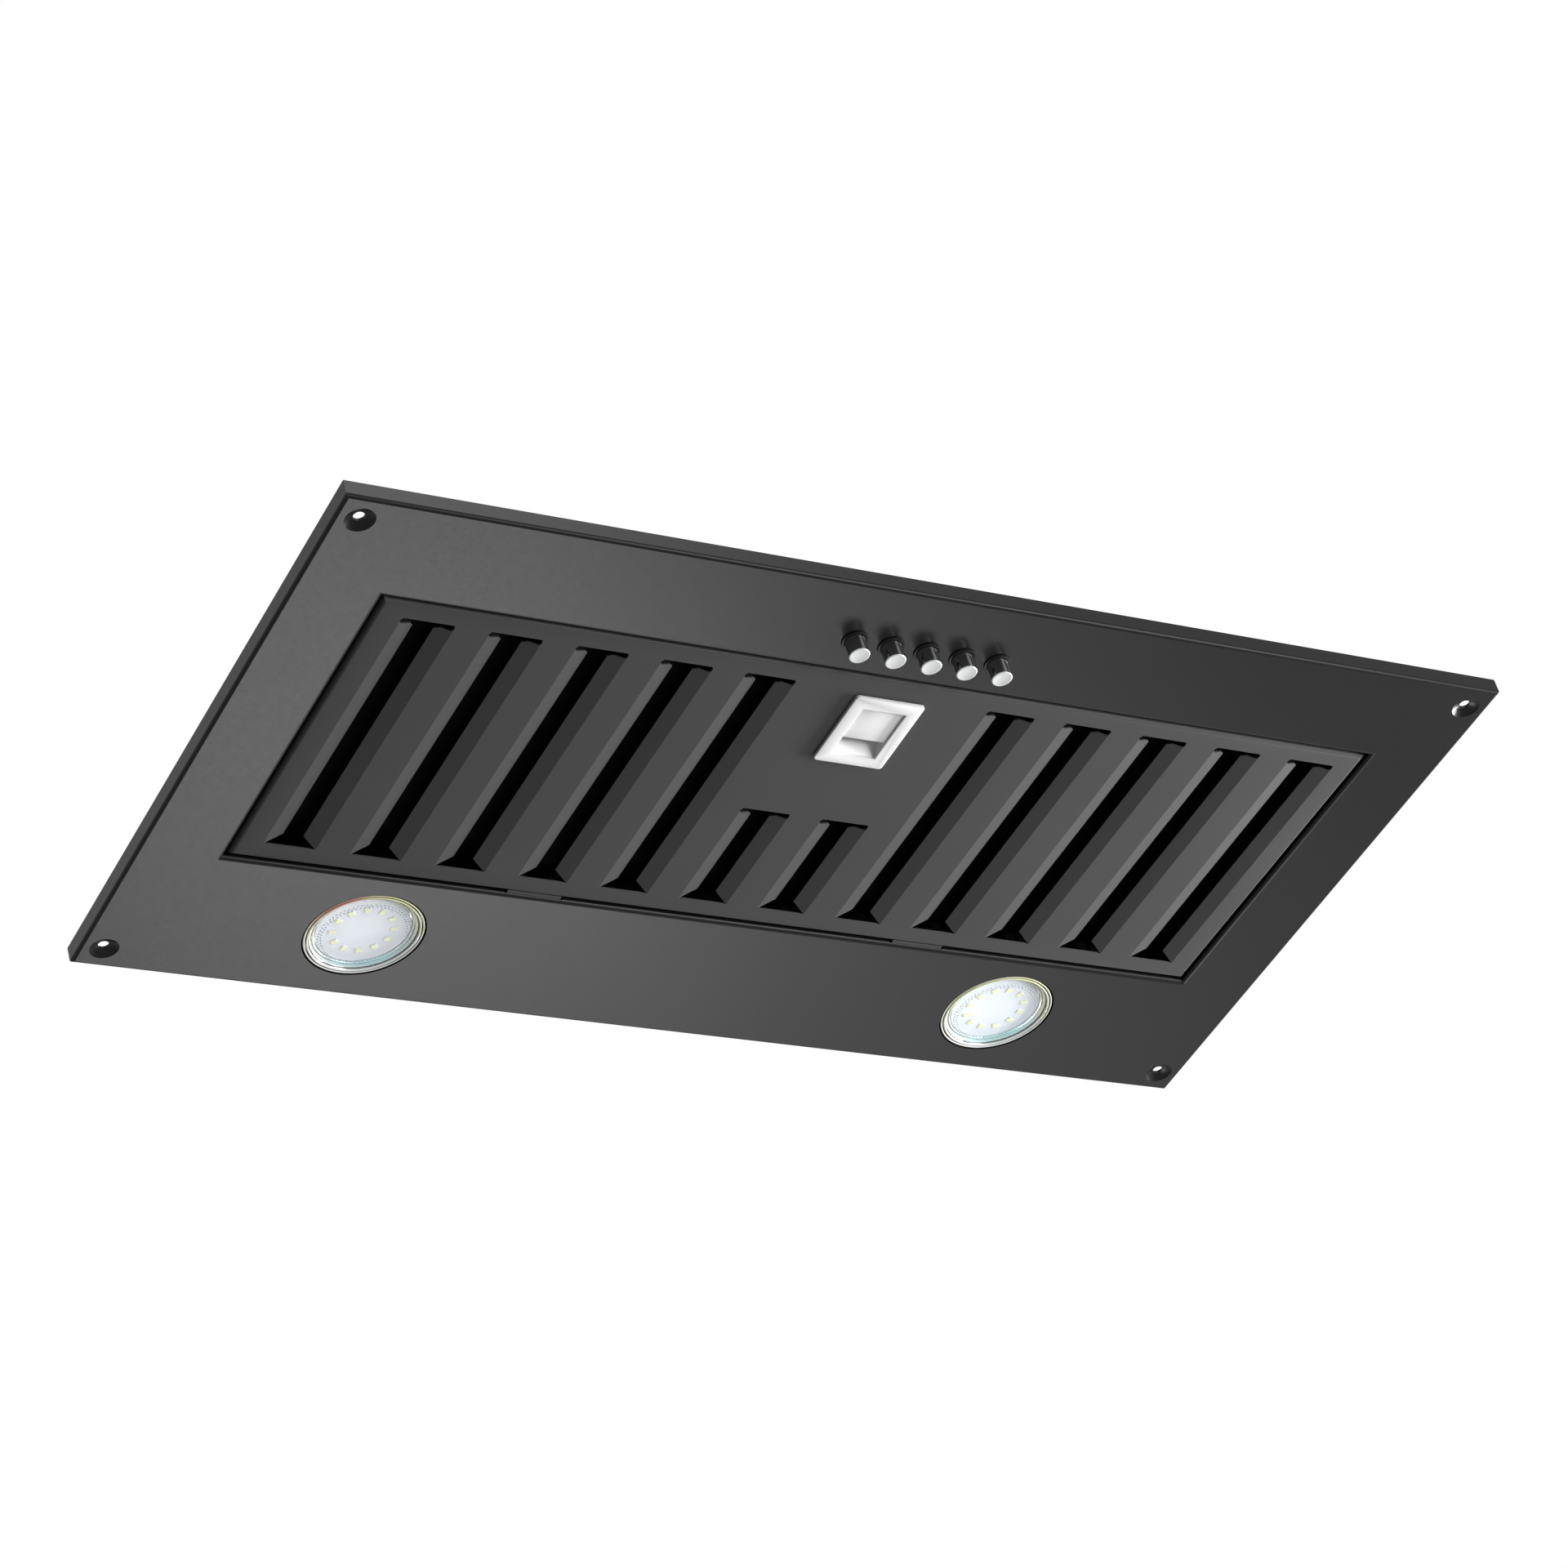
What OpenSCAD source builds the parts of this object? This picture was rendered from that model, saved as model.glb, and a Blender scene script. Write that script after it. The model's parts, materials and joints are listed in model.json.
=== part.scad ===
// Undermount range hood: a slim hood screwed up under a wall cabinet, with its duct out of the top.
// Heights in the Hidden section are taken from the underside of the face panel, and every piece is
// drawn inside from_face(), which moves that plane so that the origin is the middle of the four
// panel screw holes, where the screws seat. +X is the user's right, +Y is towards the wall, +Z is up.

/* [Face panel] */
// Width of the face panel, left to right
panel_w = 520; // [500:5:560]
// Depth of the face panel, front to back
panel_d = 272; // [262:2:300]
// Thickness of the panel sheet
panel_t = 1; // [0.8:0.1:1.2]
// Height of the folded edge round the panel
flange_h = 7.5; // [6.5:0.5:10]
// Outside radius of the panel's folded edges
bend_r = 1.5; // [1.3:0.1:2]
// Distance of a mounting screw from the panel's side edge
screw_side = 10; // [9:0.5:12]
// Distance of a mounting screw from the panel's front and back edges
screw_end = 11; // [10:0.5:13]
// Diameter of a mounting screw hole
screw_hole_d = 4.5; // [4:0.1:5]
// Diameter of the pressed dimple round a mounting screw hole
dimple_d = 12; // [11:0.5:13]
// Depth of that dimple
dimple_h = 2.2; // [1.8:0.1:2.6]

/* [Filter] */
// Panel left of and right of the filter opening
opening_side = 35; // [32:1:40]
// Panel in front of the filter opening
opening_front = 47; // [46:1:52]
// Panel behind the filter opening
opening_back = 72.5; // [70:0.5:80]
// Height of the lip folded up round the opening
lip_h = 8; // [7.5:0.5:9]
// Outside radius of that fold
lip_r = 2; // [1.6:0.1:2.4]
// Gap between the filter and the opening, all round
filter_gap = 1.5; // [1.2:0.1:2]
// How far the filter's face sits above the panel's face
filter_recess = 0.5; // [0.3:0.1:0.8]
// Thickness of the filter's front sheet
filter_t = 0.6; // [0.5:0.1:0.8]
// Outside radius of the filter's folded rim
filter_r = 2; // [1.5:0.1:2.5]
// Height of the filter's folded rim
filter_rim_h = 10.5; // [9:0.5:12]
// Number of slots across the filter
slot_count = 12; // [10:2:14]
// Width of a slot, between its two fold lines
slot_w = 22; // [20:0.5:24]
// Gap left between a slot's two folded flaps
slot_gap = 8.6; // [7:0.2:10]
// Height that a flap rises from its fold to its free edge
flap_h = 2; // [1.5:0.1:3]
// How far a flap's free edge falls short of its fold line, at each end
flap_mitre = 4.75; // [4:0.25:6]
// Plain strip of filter in front of the slots
slot_front = 8.1; // [7:0.1:10]
// Plain strip of filter behind the slots
slot_back = 9.2; // [8:0.1:11]
// Plain strip between the latch's bezel and the two short slots behind it
slot_short_front = 34.45; // [30:0.05:40]

/* [Latch] */
// Width of the latch's bezel
bezel_w = 31.3; // [30:0.1:33]
// Depth of the latch's bezel, front to back
bezel_d = 37.9; // [37:0.1:40]
// How far the bezel stands out from the filter's face
bezel_proud = 1.5; // [1.2:0.1:2]
// Distance from the filter's front edge to the bezel
bezel_front = 10.35; // [10:0.05:12]
// Width of the window in the bezel
window_w = 20; // [19:0.2:21]
// Length of that window, front to back
window_d = 26.7; // [26:0.1:28]
// Depth of the slider's pad, front to back
pad_d = 17.9; // [17:0.1:18.5]
// Width of the latch's bolt
bolt_w = 8; // [6:0.5:10]
// Thickness of the latch's bolt
bolt_t = 2.4; // [2:0.1:2.6]

/* [Buttons] */
// Number of push buttons
button_count = 5; // [5:1:5]
// Distance between neighbouring buttons
button_pitch = 16.2; // [15:0.1:17]
// Distance of the buttons from the panel's front edge
button_front = 30; // [29:0.5:31]
// Diameter of a button
button_d = 8.4; // [8:0.1:9]
// How far a button stands out below the panel
button_out = 8; // [7:0.5:9]
// How far a button travels when it is pressed
button_travel = 4; // [3:0.5:4.5]

/* [Lamps] */
// Distance of a lamp from the panel's side edge
lamp_side = 110.5; // [105:0.5:115]
// Distance of a lamp from the panel's back edge
lamp_back = 37.5; // [36:0.5:40]
// Diameter of a lamp's glass
lamp_d = 50; // [49:0.5:51]
// Diameter of the light-emitting board behind the glass
led_board_d = 39; // [37:0.5:40]
// Number of light-emitting diodes on a board
led_count = 12; // [8:1:16]

/* [Body] */
// Height of the body's top above the panel's face
body_h = 120; // [116:1:126]
// Thickness of the body's sheet
body_t = 0.8; // [0.7:0.1:1]
// Distance from the body's side wall to the panel's side edge
body_side = 24; // [22:1:26]
// Distance from the body's back wall to the panel's back edge
body_back = 9; // [8.5:0.5:10]
// Outside diameter of the duct collar
collar_d = 119; // [110:1:119]
// Height of the duct collar above the body
collar_h = 30; // [26:1:34]
// Thickness of the duct collar's wall
collar_t = 1.2; // [1:0.1:1.5]

/* [Blower] */
// Radius of the fan wheel
wheel_r = 35; // [33:0.5:36]
// Width of the fan wheel
wheel_w = 100; // [90:2:104]
// Number of blades round the wheel
blade_count = 36; // [24:2:40]
// Thickness of a blade
blade_t = 0.9; // [0.7:0.1:1.1]
// Radius that each quarter of the spiral casing adds to the one before it
spiral_add_r = 7; // [6:0.5:7.5]
// Thickness of the casing's wall
casing_t = 1.5; // [1.2:0.1:1.8]

/* [Hidden] */
$fn = 64;

// Overrun of every cut, and the clearances
over = 1;
press_gap = 0.02;
fit_gap = 0.05;
slide_gap = 0.3;
small_gap = 0.2;

// Weld studs and their nuts
stud_r = 2;
stud_h = 8;
stud_foot_r = 2.75;
nut_af = 7;
nut_h = 3.2;
hex_share = 0.8660254;

// Sheet screws
head_r = 3.4;
head_top_share = 0.72;
head_h = 2.2;
shank_r = 1.45;
shank_l = 7;
recess_r = 1.5;
recess_h = 1.2;
cross_w = 0.9;

// Places on the panel
screw_x = panel_w / 2 - screw_side;
screw_y = panel_d / 2 - screw_end;
opening_w = panel_w - 2 * opening_side;
opening_d = panel_d - opening_front - opening_back;
opening_y = (opening_front - opening_back) / 2;
opening_y0 = -panel_d / 2 + opening_front;
opening_y1 = panel_d / 2 - opening_back;
lamp_x = panel_w / 2 - lamp_side;
lamp_y = panel_d / 2 - lamp_back;
lamp_gap = 0.35;
lamp_hole_r = lamp_d / 2 + lamp_gap;
button_y = -panel_d / 2 + button_front;
dimple_r = dimple_d / 2;
dimple_ball_r = (dimple_r * dimple_r + dimple_h * dimple_h) / (2 * dimple_h);

// Filter sizes
filter_w = opening_w - 2 * filter_gap;
filter_d = opening_d - 2 * filter_gap;
filter_y0 = opening_y0 + filter_gap;
filter_y1 = opening_y1 - filter_gap;
slot_side = 3.6;
slot_pitch = (filter_w - 2 * slot_side) / slot_count;
slot_l = filter_d - slot_front - slot_back;
slot_y1 = filter_y1 - slot_back;
slot_short_l = slot_y1 - filter_y0 - bezel_front - bezel_d - slot_short_front;
flap_plan = (slot_w - slot_gap) / 2;
flap_l = sqrt(flap_plan * flap_plan + flap_h * flap_h);
flap_angle = atan(flap_h / flap_plan);
frame_t = 0.8;
frame_h = 11.4;
frame_ledge = 8;
frame_z = filter_recess + filter_t + small_gap;
frame_top = frame_z + frame_h;
baffle_w = 21;
baffle_h = 5;
baffle_t = 0.6;
baffle_lap = 6;

// Hinge tabs and the notches that they pass through
tab_x = 90;
tab_w = 24;
tab_t = 1;
tab_out = 10;
rivet_up = 6;
tab_notch_w = tab_w + 2;
tab_notch_y = opening_y1 + 1.5 * lip_r;
tab_z = panel_t + small_gap;
rivet_r = 1.6;
rivet_head_r = 2.6;
rivet_head_h = 0.9;
rivet_pitch = 14;

// Latch sizes
bezel_y = filter_y0 + bezel_front + bezel_d / 2;
bezel_y0 = filter_y0 + bezel_front;
bezel_r = 1.5;
bezel_lap = 2.35;
bezel_body_w = bezel_w - 2 * bezel_lap;
bezel_wall = 0.6;
bezel_body_y0 = bezel_y0 + bezel_lap;
bezel_body_y1 = bezel_y0 + bezel_d - bezel_lap;
bezel_z0 = filter_recess - bezel_proud;
bezel_lip_t = 1;
bezel_body_h = 9.7;
bezel_top = filter_recess + bezel_body_h;
bezel_roof_t = 1;
window_front = 6.05;
window_y0 = bezel_y0 + window_front;
window_y1 = window_y0 + window_d;
pocket_side = 0.6;
pocket_y0 = bezel_body_y0 + bezel_wall;
pocket_z0 = bezel_z0 + bezel_lip_t;
pocket_z1 = bezel_top - bezel_roof_t;
pad_side = 0.35;
pad_t = 1.3;
pad_z = pocket_z0 + 0.5 * slide_gap;
pad_y0 = window_y0 - pad_side / 2;
pad_y1 = window_y0 + pad_d;
bolt_z = 3.4;
bolt_back = 6.8;
bolt_y1 = pad_y1 - bolt_back;
bolt_tip = opening_y0 + slide_gap;
bolt_throw = 2.5;
slider_travel = 6.5;
neck_w = 6;
neck_d = 8;
arm_x0 = bolt_w / 2 - over;
arm_x1 = 9.4;
arm_in = 0.9;
arm_y = pad_y0 + arm_in;
arm_t = 1;
rib_in = 2.8;
rib_y = pad_y1 - rib_in;
spring_x = 6.9;
spring_r = 1.9;
spring_wire_r = 0.25;
spring_turns = 7;
spring_sides = 8;
spring_steps = 18;
spring_z = bolt_z + bolt_t / 2;

// Button sizes
button_r = button_d / 2;
button_collar_w = 0.8;
button_collar_r = button_r + button_collar_w;
button_collar_h = 0.7;
button_head_h = 0.6;
ferrule_wall = 0.65;
ferrule_bore_r = button_r + fit_gap;
ferrule_neck_r = ferrule_bore_r + ferrule_wall;
ferrule_flange_w = 0.5;
ferrule_flange_r = ferrule_neck_r + ferrule_flange_w;
ferrule_flange_h = 0.7;
ferrule_neck_h = 1.8;
ferrule_top = panel_t + ferrule_neck_h;
button_collar_z = ferrule_top + slide_gap;
button_top = button_collar_z + button_collar_h + button_head_h;
button_edge = 0.5;
stem_w = 3;
hat_t = 0.8;
hat_side = 11;
hat_w = (button_count - 1) * button_pitch + 2 * hat_side;
hat_d = 15;
hat_room = 0.8;
hat_top = button_top + button_travel + hat_room + hat_t;
hat_foot = 14;
hat_stud_x = hat_w / 2 + hat_foot / 2;
block_in = 2;
block_w = hat_w - 2 * block_in;
block_d = 16;
block_h = 15;
stem_in = 3;
stem_top = hat_top + stem_in;
stem_well_h = stem_top + button_travel + small_gap - hat_top;
terminal_w = 4.8;
terminal_t = 0.8;
terminal_h = 6;
terminal_gap = 7;

// Lamp sizes
lamp_r = lamp_d / 2;
lamp_face = 0.1;
lamp_rim_h = 4;
lamp_rim_w = 2.2;
lamp_bore_r = lamp_r - lamp_rim_w;
cover_r = lamp_bore_r - small_gap;
cover_t = 1.5;
cover_in = 0.3;
cover_z = lamp_face + cover_in;
board_gap = 0.7;
board_z = cover_z + cover_t + board_gap;
board_t = 1.6;
led_r = 1.5;
led_h = 0.5;
led_ring_r = 12.6;
neck_r = 11.6;
neck_bore_r = 9.6;
cup_h = 36;
cup_cone_z = 30;
cup_wall = 2;
base_r = neck_bore_r - fit_gap;
base_z = 28;
base_top = 46;
base_cap_r = 13;
pin_x = 5;
pin_r = 2.5;
pin_h = 7;
socket_r = 14.5;
socket_h = 18;
socket_hole_r = 3.1;
socket_hole_h = 9;
socket_top = base_top + socket_h;
strap_w = 20;
strap_half = 30;
strap_foot = 13;
strap_stud = 37;
socket_screw_x = 7;

// Body shell sizes
body_z = panel_t;
wall_x = panel_w / 2 - body_side;
wall_front_gap = 5;
wall_y0 = opening_y0 - wall_front_gap;
wall_y1 = panel_d / 2 - body_back;
side_knee_z = 40;
front_knee_z = 26;
side_in = 48;
top_x = wall_x - side_in;
side_slope = side_in / (body_h - side_knee_z);
rim_w = 12;
side_flange = 10;
front_flange = 12;
back_flange = 14;
notch_gap = 4;
notch_r = dimple_r + notch_gap;
side_stud_x = wall_x + side_flange / 2;
side_stud_y = 50;
front_stud_y = wall_y0 - front_flange / 2;
front_stud_in = 36;
back_stud_y = wall_y1 - back_flange / 2 - body_t;
back_stud_in = 89.5;
back_stud_out = 62.5;
button_notch_gap = 5;
button_notch_w = hat_w + 2 * hat_foot + 2 * button_notch_gap;
notch_stud_gap = 27.6;
front_stud_x = [button_notch_w / 2 + notch_stud_gap, wall_x - front_stud_in];
back_stud_x = [lamp_x - back_stud_in, lamp_x + back_stud_out];

// Places of the weld studs, one of each mirrored pair
stud_places = [
    [side_stud_x, side_stud_y], [side_stud_x, -side_stud_y],
    [front_stud_x[0], front_stud_y], [front_stud_x[1], front_stud_y],
    [back_stud_x[0], back_stud_y], [back_stud_x[1], back_stud_y],
    [lamp_x - strap_stud, lamp_y], [lamp_x + strap_stud, lamp_y],
    [hat_stud_x, button_y]
];

// The duct collar sits against the back wall, and the front wall slants in to just before it
collar_r = collar_d / 2;
collar_bore_r = collar_r - collar_t;
collar_flange_w = 4;
collar_flange_r = collar_r + collar_flange_w;
collar_back = 3.5;
collar_front = 4;
duct_y = wall_y1 - collar_back - collar_flange_r;
top_y0 = duct_y - collar_flange_r - collar_front;
front_slope = (top_y0 - wall_y0) / (body_h - front_knee_z);

// Top cover, collar and damper sizes
cover_sheet = 0.8;
cover_edge = 4;
cover_x = top_x - cover_edge;
cover_y0 = top_y0 + cover_edge;
cover_y1 = wall_y1 - cover_edge;
cover_mid_y = (cover_y0 + cover_y1) / 2;
cover_screw_in = 4.4;
cover_screw_x = cover_x - cover_screw_in;
cover_screw_y0 = cover_y0 + cover_screw_in;
cover_screw_y1 = cover_y1 - cover_screw_in;
cover_screw_mid_x = 82;
collar_z = body_h + cover_sheet;
collar_ear_r = 5;
collar_ear_out = 7.5;
collar_ear_place = collar_r + collar_ear_out;
rod_r = 1.5;
rod_up = 5.4;
rod_z = collar_z + rod_up;
flap_t = 0.8;
flap_gap = 0.8;
flap_strip = 3.4;
knuckle_r = 3;
knuckle_l = 20;
knuckle_gap = 0.5;
ledge_w = 1.6;
ledge_h = 1.5;
ledge_top = rod_z - flap_t / 2;

// Blower sizes
wheel_front = 36;
wheel_y = duct_y - wheel_front;
wheel_drop = 47;
wheel_z = body_h - wheel_drop;
wheel_ring_t = 2;
wheel_ring_w = 1.4;
blade_reach = 6.5;
blade_in = wheel_r - blade_reach;
blade_bend_r = 5.5;
wheel_disc_t = 2;
hub_r = 8;
hub_l = 12;
shaft_r = 3;
shaft_l = 62;
shaft_x0 = -48;
wheel_side_gap = 5;
casing_half_w = wheel_w / 2 + wheel_side_gap;
spiral_gap = 9.5;
spiral_r = wheel_r + spiral_gap;
tongue_gap = 4.5;
tongue_r = wheel_r + tongue_gap;
tongue_y = 16;
outlet_y1 = spiral_add_r / 2 + spiral_r + 2 * spiral_add_r;
outlet_h = body_h - wheel_z;
inlet_in = 6;
inlet_r = wheel_r - inlet_in;
// The rolled inlet ends short of the motor bosses, which stand 10 mm out from the inlet's edge
bell_r = 2.6;
outlet_flange_w = 14;
outlet_flange_side = 8;
outlet_flange_t = 2;
outlet_screw_out = 9;
outlet_screw_x = casing_half_w + outlet_screw_out;
outlet_screw_front = 2;
outlet_screw_back = 2.5;
outlet_screw_y0 = wheel_y + tongue_y - casing_t - outlet_screw_front;
outlet_screw_y1 = wheel_y + outlet_y1 + casing_t + outlet_screw_back;
seam_w = 4;
seam_t = 1.5;
lug_r = 4.6;
// The quarter of the spiral and the angle at which each lug stands
lug_stations = [[0, 165], [1, 215], [2, 310], [2, 345]];

// Motor sizes
can_r = 22;
can_t = 1.5;
can_l = 34;
can_gap = 1;
can_x1 = -wheel_disc_t / 2 - can_gap;
air_gap = 0.7;
stator_r = can_r - can_t - air_gap;
stator_l = 20;
stator_in = 6;
stator_x1 = can_x1 - stator_in;
stator_slot_w = 2.4;
stator_slots = 12;
tube_r = 7;
tube_bore_r = 5;
winding_r = 15.5;
winding_h = 4;
bearing_l = 5;
plate_x = -41;
plate_t = 1.5;
plate_r = 19;
arm_half_w = 4.5;
motor_arm_out = 10;
motor_arm_r = inlet_r + motor_arm_out;
motor_arm_end = 5;
bracket_out = 5;
bracket_x = -casing_half_w - bracket_out;
boss_r = 4;
grommet_r = 4.2;
grommet_t = 1.5;
grommet_neck_r = 2.8;
motor_screw_r = 1.5;
motor_arm_angles = [90, 210, 330];

// Electrical box sizes. The box and the capacitor sit midway from the collar to the side screws
beside_x = (collar_flange_r + cover_screw_x - head_r) / 2;
box_x = -beside_x;
box_back = 6;
box_y = duct_y + box_back;
box_w = 60;
box_d = 56;
box_h = 20;
box_t = 1.6;
box_r = 3;
lid_t = 1.8;
lid_lap = 3;
gland_r = 4;
gland_nut_af = 17;
gland_y = 10;
gland_z = 10;
gland_flange_h = 4;
gland_nut_h = 8;
gland_in = 5;
strip_w = 14;
strip_d = 34;
strip_h = 11;
strip_poles = 3;
cap_x = beside_x;
cap_front = 30;
cap_y = duct_y - cap_front;
cap_r = 14;
cap_l = 46;
cap_stud_r = 4;
cap_stud_l = 12;
cap_nut_af = 13;
cap_nut_h = 5;

// Frame and copying helpers
module from_face() translate([0, 0, -dimple_h]) children();

module both_sides() {
    children();
    mirror([1, 0, 0]) children();
}

module along_x(l) rotate([90, 0, 90]) linear_extrude(height = l, center = true) children();

module along_y(l) rotate([90, 0, 0]) linear_extrude(height = l, center = true) children();

// Flat outlines that the folded and moulded pieces share
module rounded_bottom(w, h, r) {
    translate([-w / 2, r]) square([w, h - r]);
    translate([-w / 2 + r, 0]) square([w - 2 * r, h]);
    for (side = [-1, 1]) translate([side * (w / 2 - r), r]) circle(r = r);
}

module flared_bottom(w, h, r, under) {
    translate([-w / 2, 0]) square([w, h]);
    if (under > 0) translate([-w / 2 - r, -under]) square([w + 2 * r, under]);
    difference() {
        translate([-w / 2 - r, 0]) square([w + 2 * r, r]);
        for (side = [-1, 1]) translate([side * (w / 2 + r), r]) circle(r = r);
    }
}

module rounded_rect(w, d, r) {
    square([w - 2 * r, d], center = true);
    square([w, d - 2 * r], center = true);
    for (x = [-1, 1], y = [-1, 1]) translate([x * (w / 2 - r), y * (d / 2 - r)]) circle(r = r);
}

// A block with folded lower edges, and a hole with edges folded up out of the sheet
module folded_block(w, d, h, r) intersection() {
    along_y(d) rounded_bottom(w, h, r);
    along_x(w) rounded_bottom(d, h, r);
}

module flared_block(w, d, h, r, under) intersection() {
    along_y(d + 4 * r + 2 * over) flared_bottom(w, h, r, under);
    along_x(w + 4 * r + 2 * over) flared_bottom(d, h, r, under);
}

module hex_prism(af, h) cylinder(r = af / 2 / hex_share, h = h, $fn = 6);

// A cross-recess screw whose head sits on the plane z = 0
module sheet_screw(l = shank_l) {
    difference() {
        cylinder(r1 = head_r, r2 = head_r * head_top_share, h = head_h);
        translate([0, 0, head_h - recess_h]) {
            translate([-recess_r, -cross_w / 2, 0]) cube([2 * recess_r, cross_w, recess_h + over]);
            translate([-cross_w / 2, -recess_r, 0]) cube([cross_w, 2 * recess_r, recess_h + over]);
        }
    }
    translate([0, 0, -l]) cylinder(r = shank_r, h = l);
}

// Face panel: a folded tray with dimpled screw holes, lamp holes and a lipped filter opening
module dimple_places() for (x = [-1, 1], y = [-1, 1]) translate([x * screw_x, y * screw_y, 0]) children();

module button_places() for (i = [0 : button_count - 1]) {
    translate([(i - (button_count - 1) / 2) * button_pitch, button_y, 0]) children();
}

module panel_dimples() dimple_places() intersection() {
    translate([0, 0, dimple_h - dimple_ball_r]) sphere(r = dimple_ball_r + panel_t);
    cylinder(r = dimple_r + 2 * panel_t, h = dimple_h + 2 * panel_t);
}

module panel_dimple_cuts() dimple_places() {
    translate([0, 0, dimple_h - dimple_ball_r]) sphere(r = dimple_ball_r);
    cylinder(r = screw_hole_d / 2, h = dimple_h + 2 * panel_t);
}

module hinge_notches() both_sides() {
    translate([tab_x - tab_notch_w / 2, opening_y1 - over, panel_t])
        cube([tab_notch_w, tab_notch_y - opening_y1 + over, lip_h + over]);
}

// The latch's bolt slides out over the floor of this notch, which is open to the lip's free edge
module latch_notch() translate([-bolt_w / 2 - slide_gap, opening_y0 - panel_t - lip_r, bolt_z - slide_gap])
    cube([bolt_w + 2 * slide_gap, panel_t + lip_r + over, lip_h]);

module face_panel() color("#3b3b3c") from_face() difference() {
    union() {
        difference() {
            folded_block(panel_w, panel_d, flange_h, bend_r);
            translate([0, 0, panel_t])
                folded_block(panel_w - 2 * panel_t, panel_d - 2 * panel_t, flange_h, bend_r - panel_t);
        }
        translate([0, opening_y, panel_t])
            flared_block(opening_w + 2 * panel_t, opening_d + 2 * panel_t, lip_h - panel_t,
                lip_r - panel_t, 0);
        panel_dimples();
    }
    translate([0, opening_y, 0]) flared_block(opening_w, opening_d, lip_h + over, lip_r, over);
    panel_dimple_cuts();
    both_sides() translate([lamp_x, lamp_y, -over]) cylinder(r = lamp_hole_r, h = panel_t + 2 * over);
    button_places() translate([0, 0, -over]) cylinder(r = ferrule_neck_r + fit_gap, h = panel_t + 2 * over);
    hinge_notches();
    latch_notch();
}

// Weld studs on the panel, and the nuts that hold the shell, lamp brackets and switch bracket
module panel_studs() color("#9a9a9a") from_face() both_sides() for (place = stud_places) {
    translate([place[0], place[1], panel_t]) {
        cylinder(r = stud_r, h = stud_h);
        cylinder(r = stud_foot_r, h = body_t - small_gap);
    }
}

module flange_nuts() color("#b4b4b4") from_face() both_sides() for (place = stud_places) {
    translate([place[0], place[1], panel_t + body_t]) difference() {
        hex_prism(nut_af, nut_h);
        translate([0, 0, -over]) cylinder(r = stud_r + fit_gap, h = nut_h + 2 * over);
    }
}

// Body shell: a folded plenum with slanted front and sides, a flange below and a rim above
module shell_side_outline(inset) {
    slant = inset * sqrt(1 + side_slope * side_slope);
    x0 = wall_x - inset;
    x1 = top_x - slant;
    knee = side_knee_z - (slant - inset) / side_slope;
    polygon([[-x0, 0], [x0, 0], [x0, knee], [x1, body_h], [-x1, body_h], [-x0, knee]]);
}

module shell_front_outline(inset) {
    slant = inset * sqrt(1 + front_slope * front_slope);
    y0 = wall_y0 + inset;
    y1 = wall_y1 - inset;
    knee = front_knee_z - (slant - inset) / front_slope;
    polygon([[y0, 0], [y1, 0], [y1, body_h], [top_y0 + slant, body_h], [y0, knee]]);
}

module shell_block(inset) intersection() {
    along_y(panel_d) shell_side_outline(inset);
    along_x(panel_w) shell_front_outline(inset);
}

module shell_flange() difference() {
    translate([-wall_x - side_flange, wall_y0 - front_flange, body_z])
        cube([2 * (wall_x + side_flange), wall_y1 - wall_y0 + front_flange, body_t]);
    for (x = [-1, 1]) {
        translate([x * screw_x, screw_y, 0]) cylinder(r = notch_r, h = body_z + 2 * over);
        translate([x * screw_x, -screw_y, 0]) cylinder(r = notch_r, h = body_z + 2 * over);
    }
    translate([-button_notch_w / 2, wall_y0 - front_flange - over, 0])
        cube([button_notch_w, front_flange + over, body_z + 2 * over]);
    translate([-wall_x + body_t, wall_y0 + body_t, 0])
        cube([2 * (wall_x - body_t), wall_y1 - back_flange - wall_y0 - body_t, body_z + 2 * over]);
}

module plenum_shell() color("#7d8084") from_face() difference() {
    union() {
        intersection() {
            difference() {
                shell_block(0);
                difference() {
                    shell_block(body_t);
                    translate([-panel_w / 2, -panel_d / 2, body_h - body_t])
                        cube([panel_w, panel_d, panel_t + over]);
                }
                translate([-top_x + rim_w, top_y0 + rim_w, body_h - 2 * body_t])
                    cube([2 * (top_x - rim_w), wall_y1 - top_y0 - 2 * rim_w, 3 * body_t]);
            }
            translate([-panel_w / 2, -panel_d / 2, body_z]) cube([panel_w, panel_d, body_h]);
        }
        shell_flange();
    }
    both_sides() for (place = stud_places) translate([place[0], place[1], 0])
        cylinder(r = stud_foot_r + small_gap, h = body_z + 2 * over);
    both_sides() translate([lamp_x, lamp_y, 0]) cylinder(r = lamp_r + strap_w / 4, h = body_z + 2 * over);
    cover_screw_places() translate([0, 0, -over - body_t])
        cylinder(r = shank_r + fit_gap, h = 2 * over + 2 * body_t);
}

// Top cover with its screws, round the rim and into the blower's outlet flange
module cover_screw_places() {
    both_sides() {
        translate([cover_screw_x, cover_screw_y0, body_h]) children();
        translate([cover_screw_x, cover_mid_y, body_h]) children();
        translate([cover_screw_x, cover_screw_y1, body_h]) children();
        translate([cover_screw_mid_x, cover_screw_y0, body_h]) children();
        translate([cover_screw_mid_x, cover_screw_y1, body_h]) children();
    }
}

module outlet_screw_places() both_sides() {
    translate([outlet_screw_x, outlet_screw_y0, body_h]) children();
    translate([outlet_screw_x, outlet_screw_y1, body_h]) children();
}

module collar_screw_places() for (angle = [45 : 90 : 315]) {
    translate([0, duct_y, collar_z]) rotate([0, 0, angle]) translate([collar_ear_place, 0, 0]) children();
}

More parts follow.
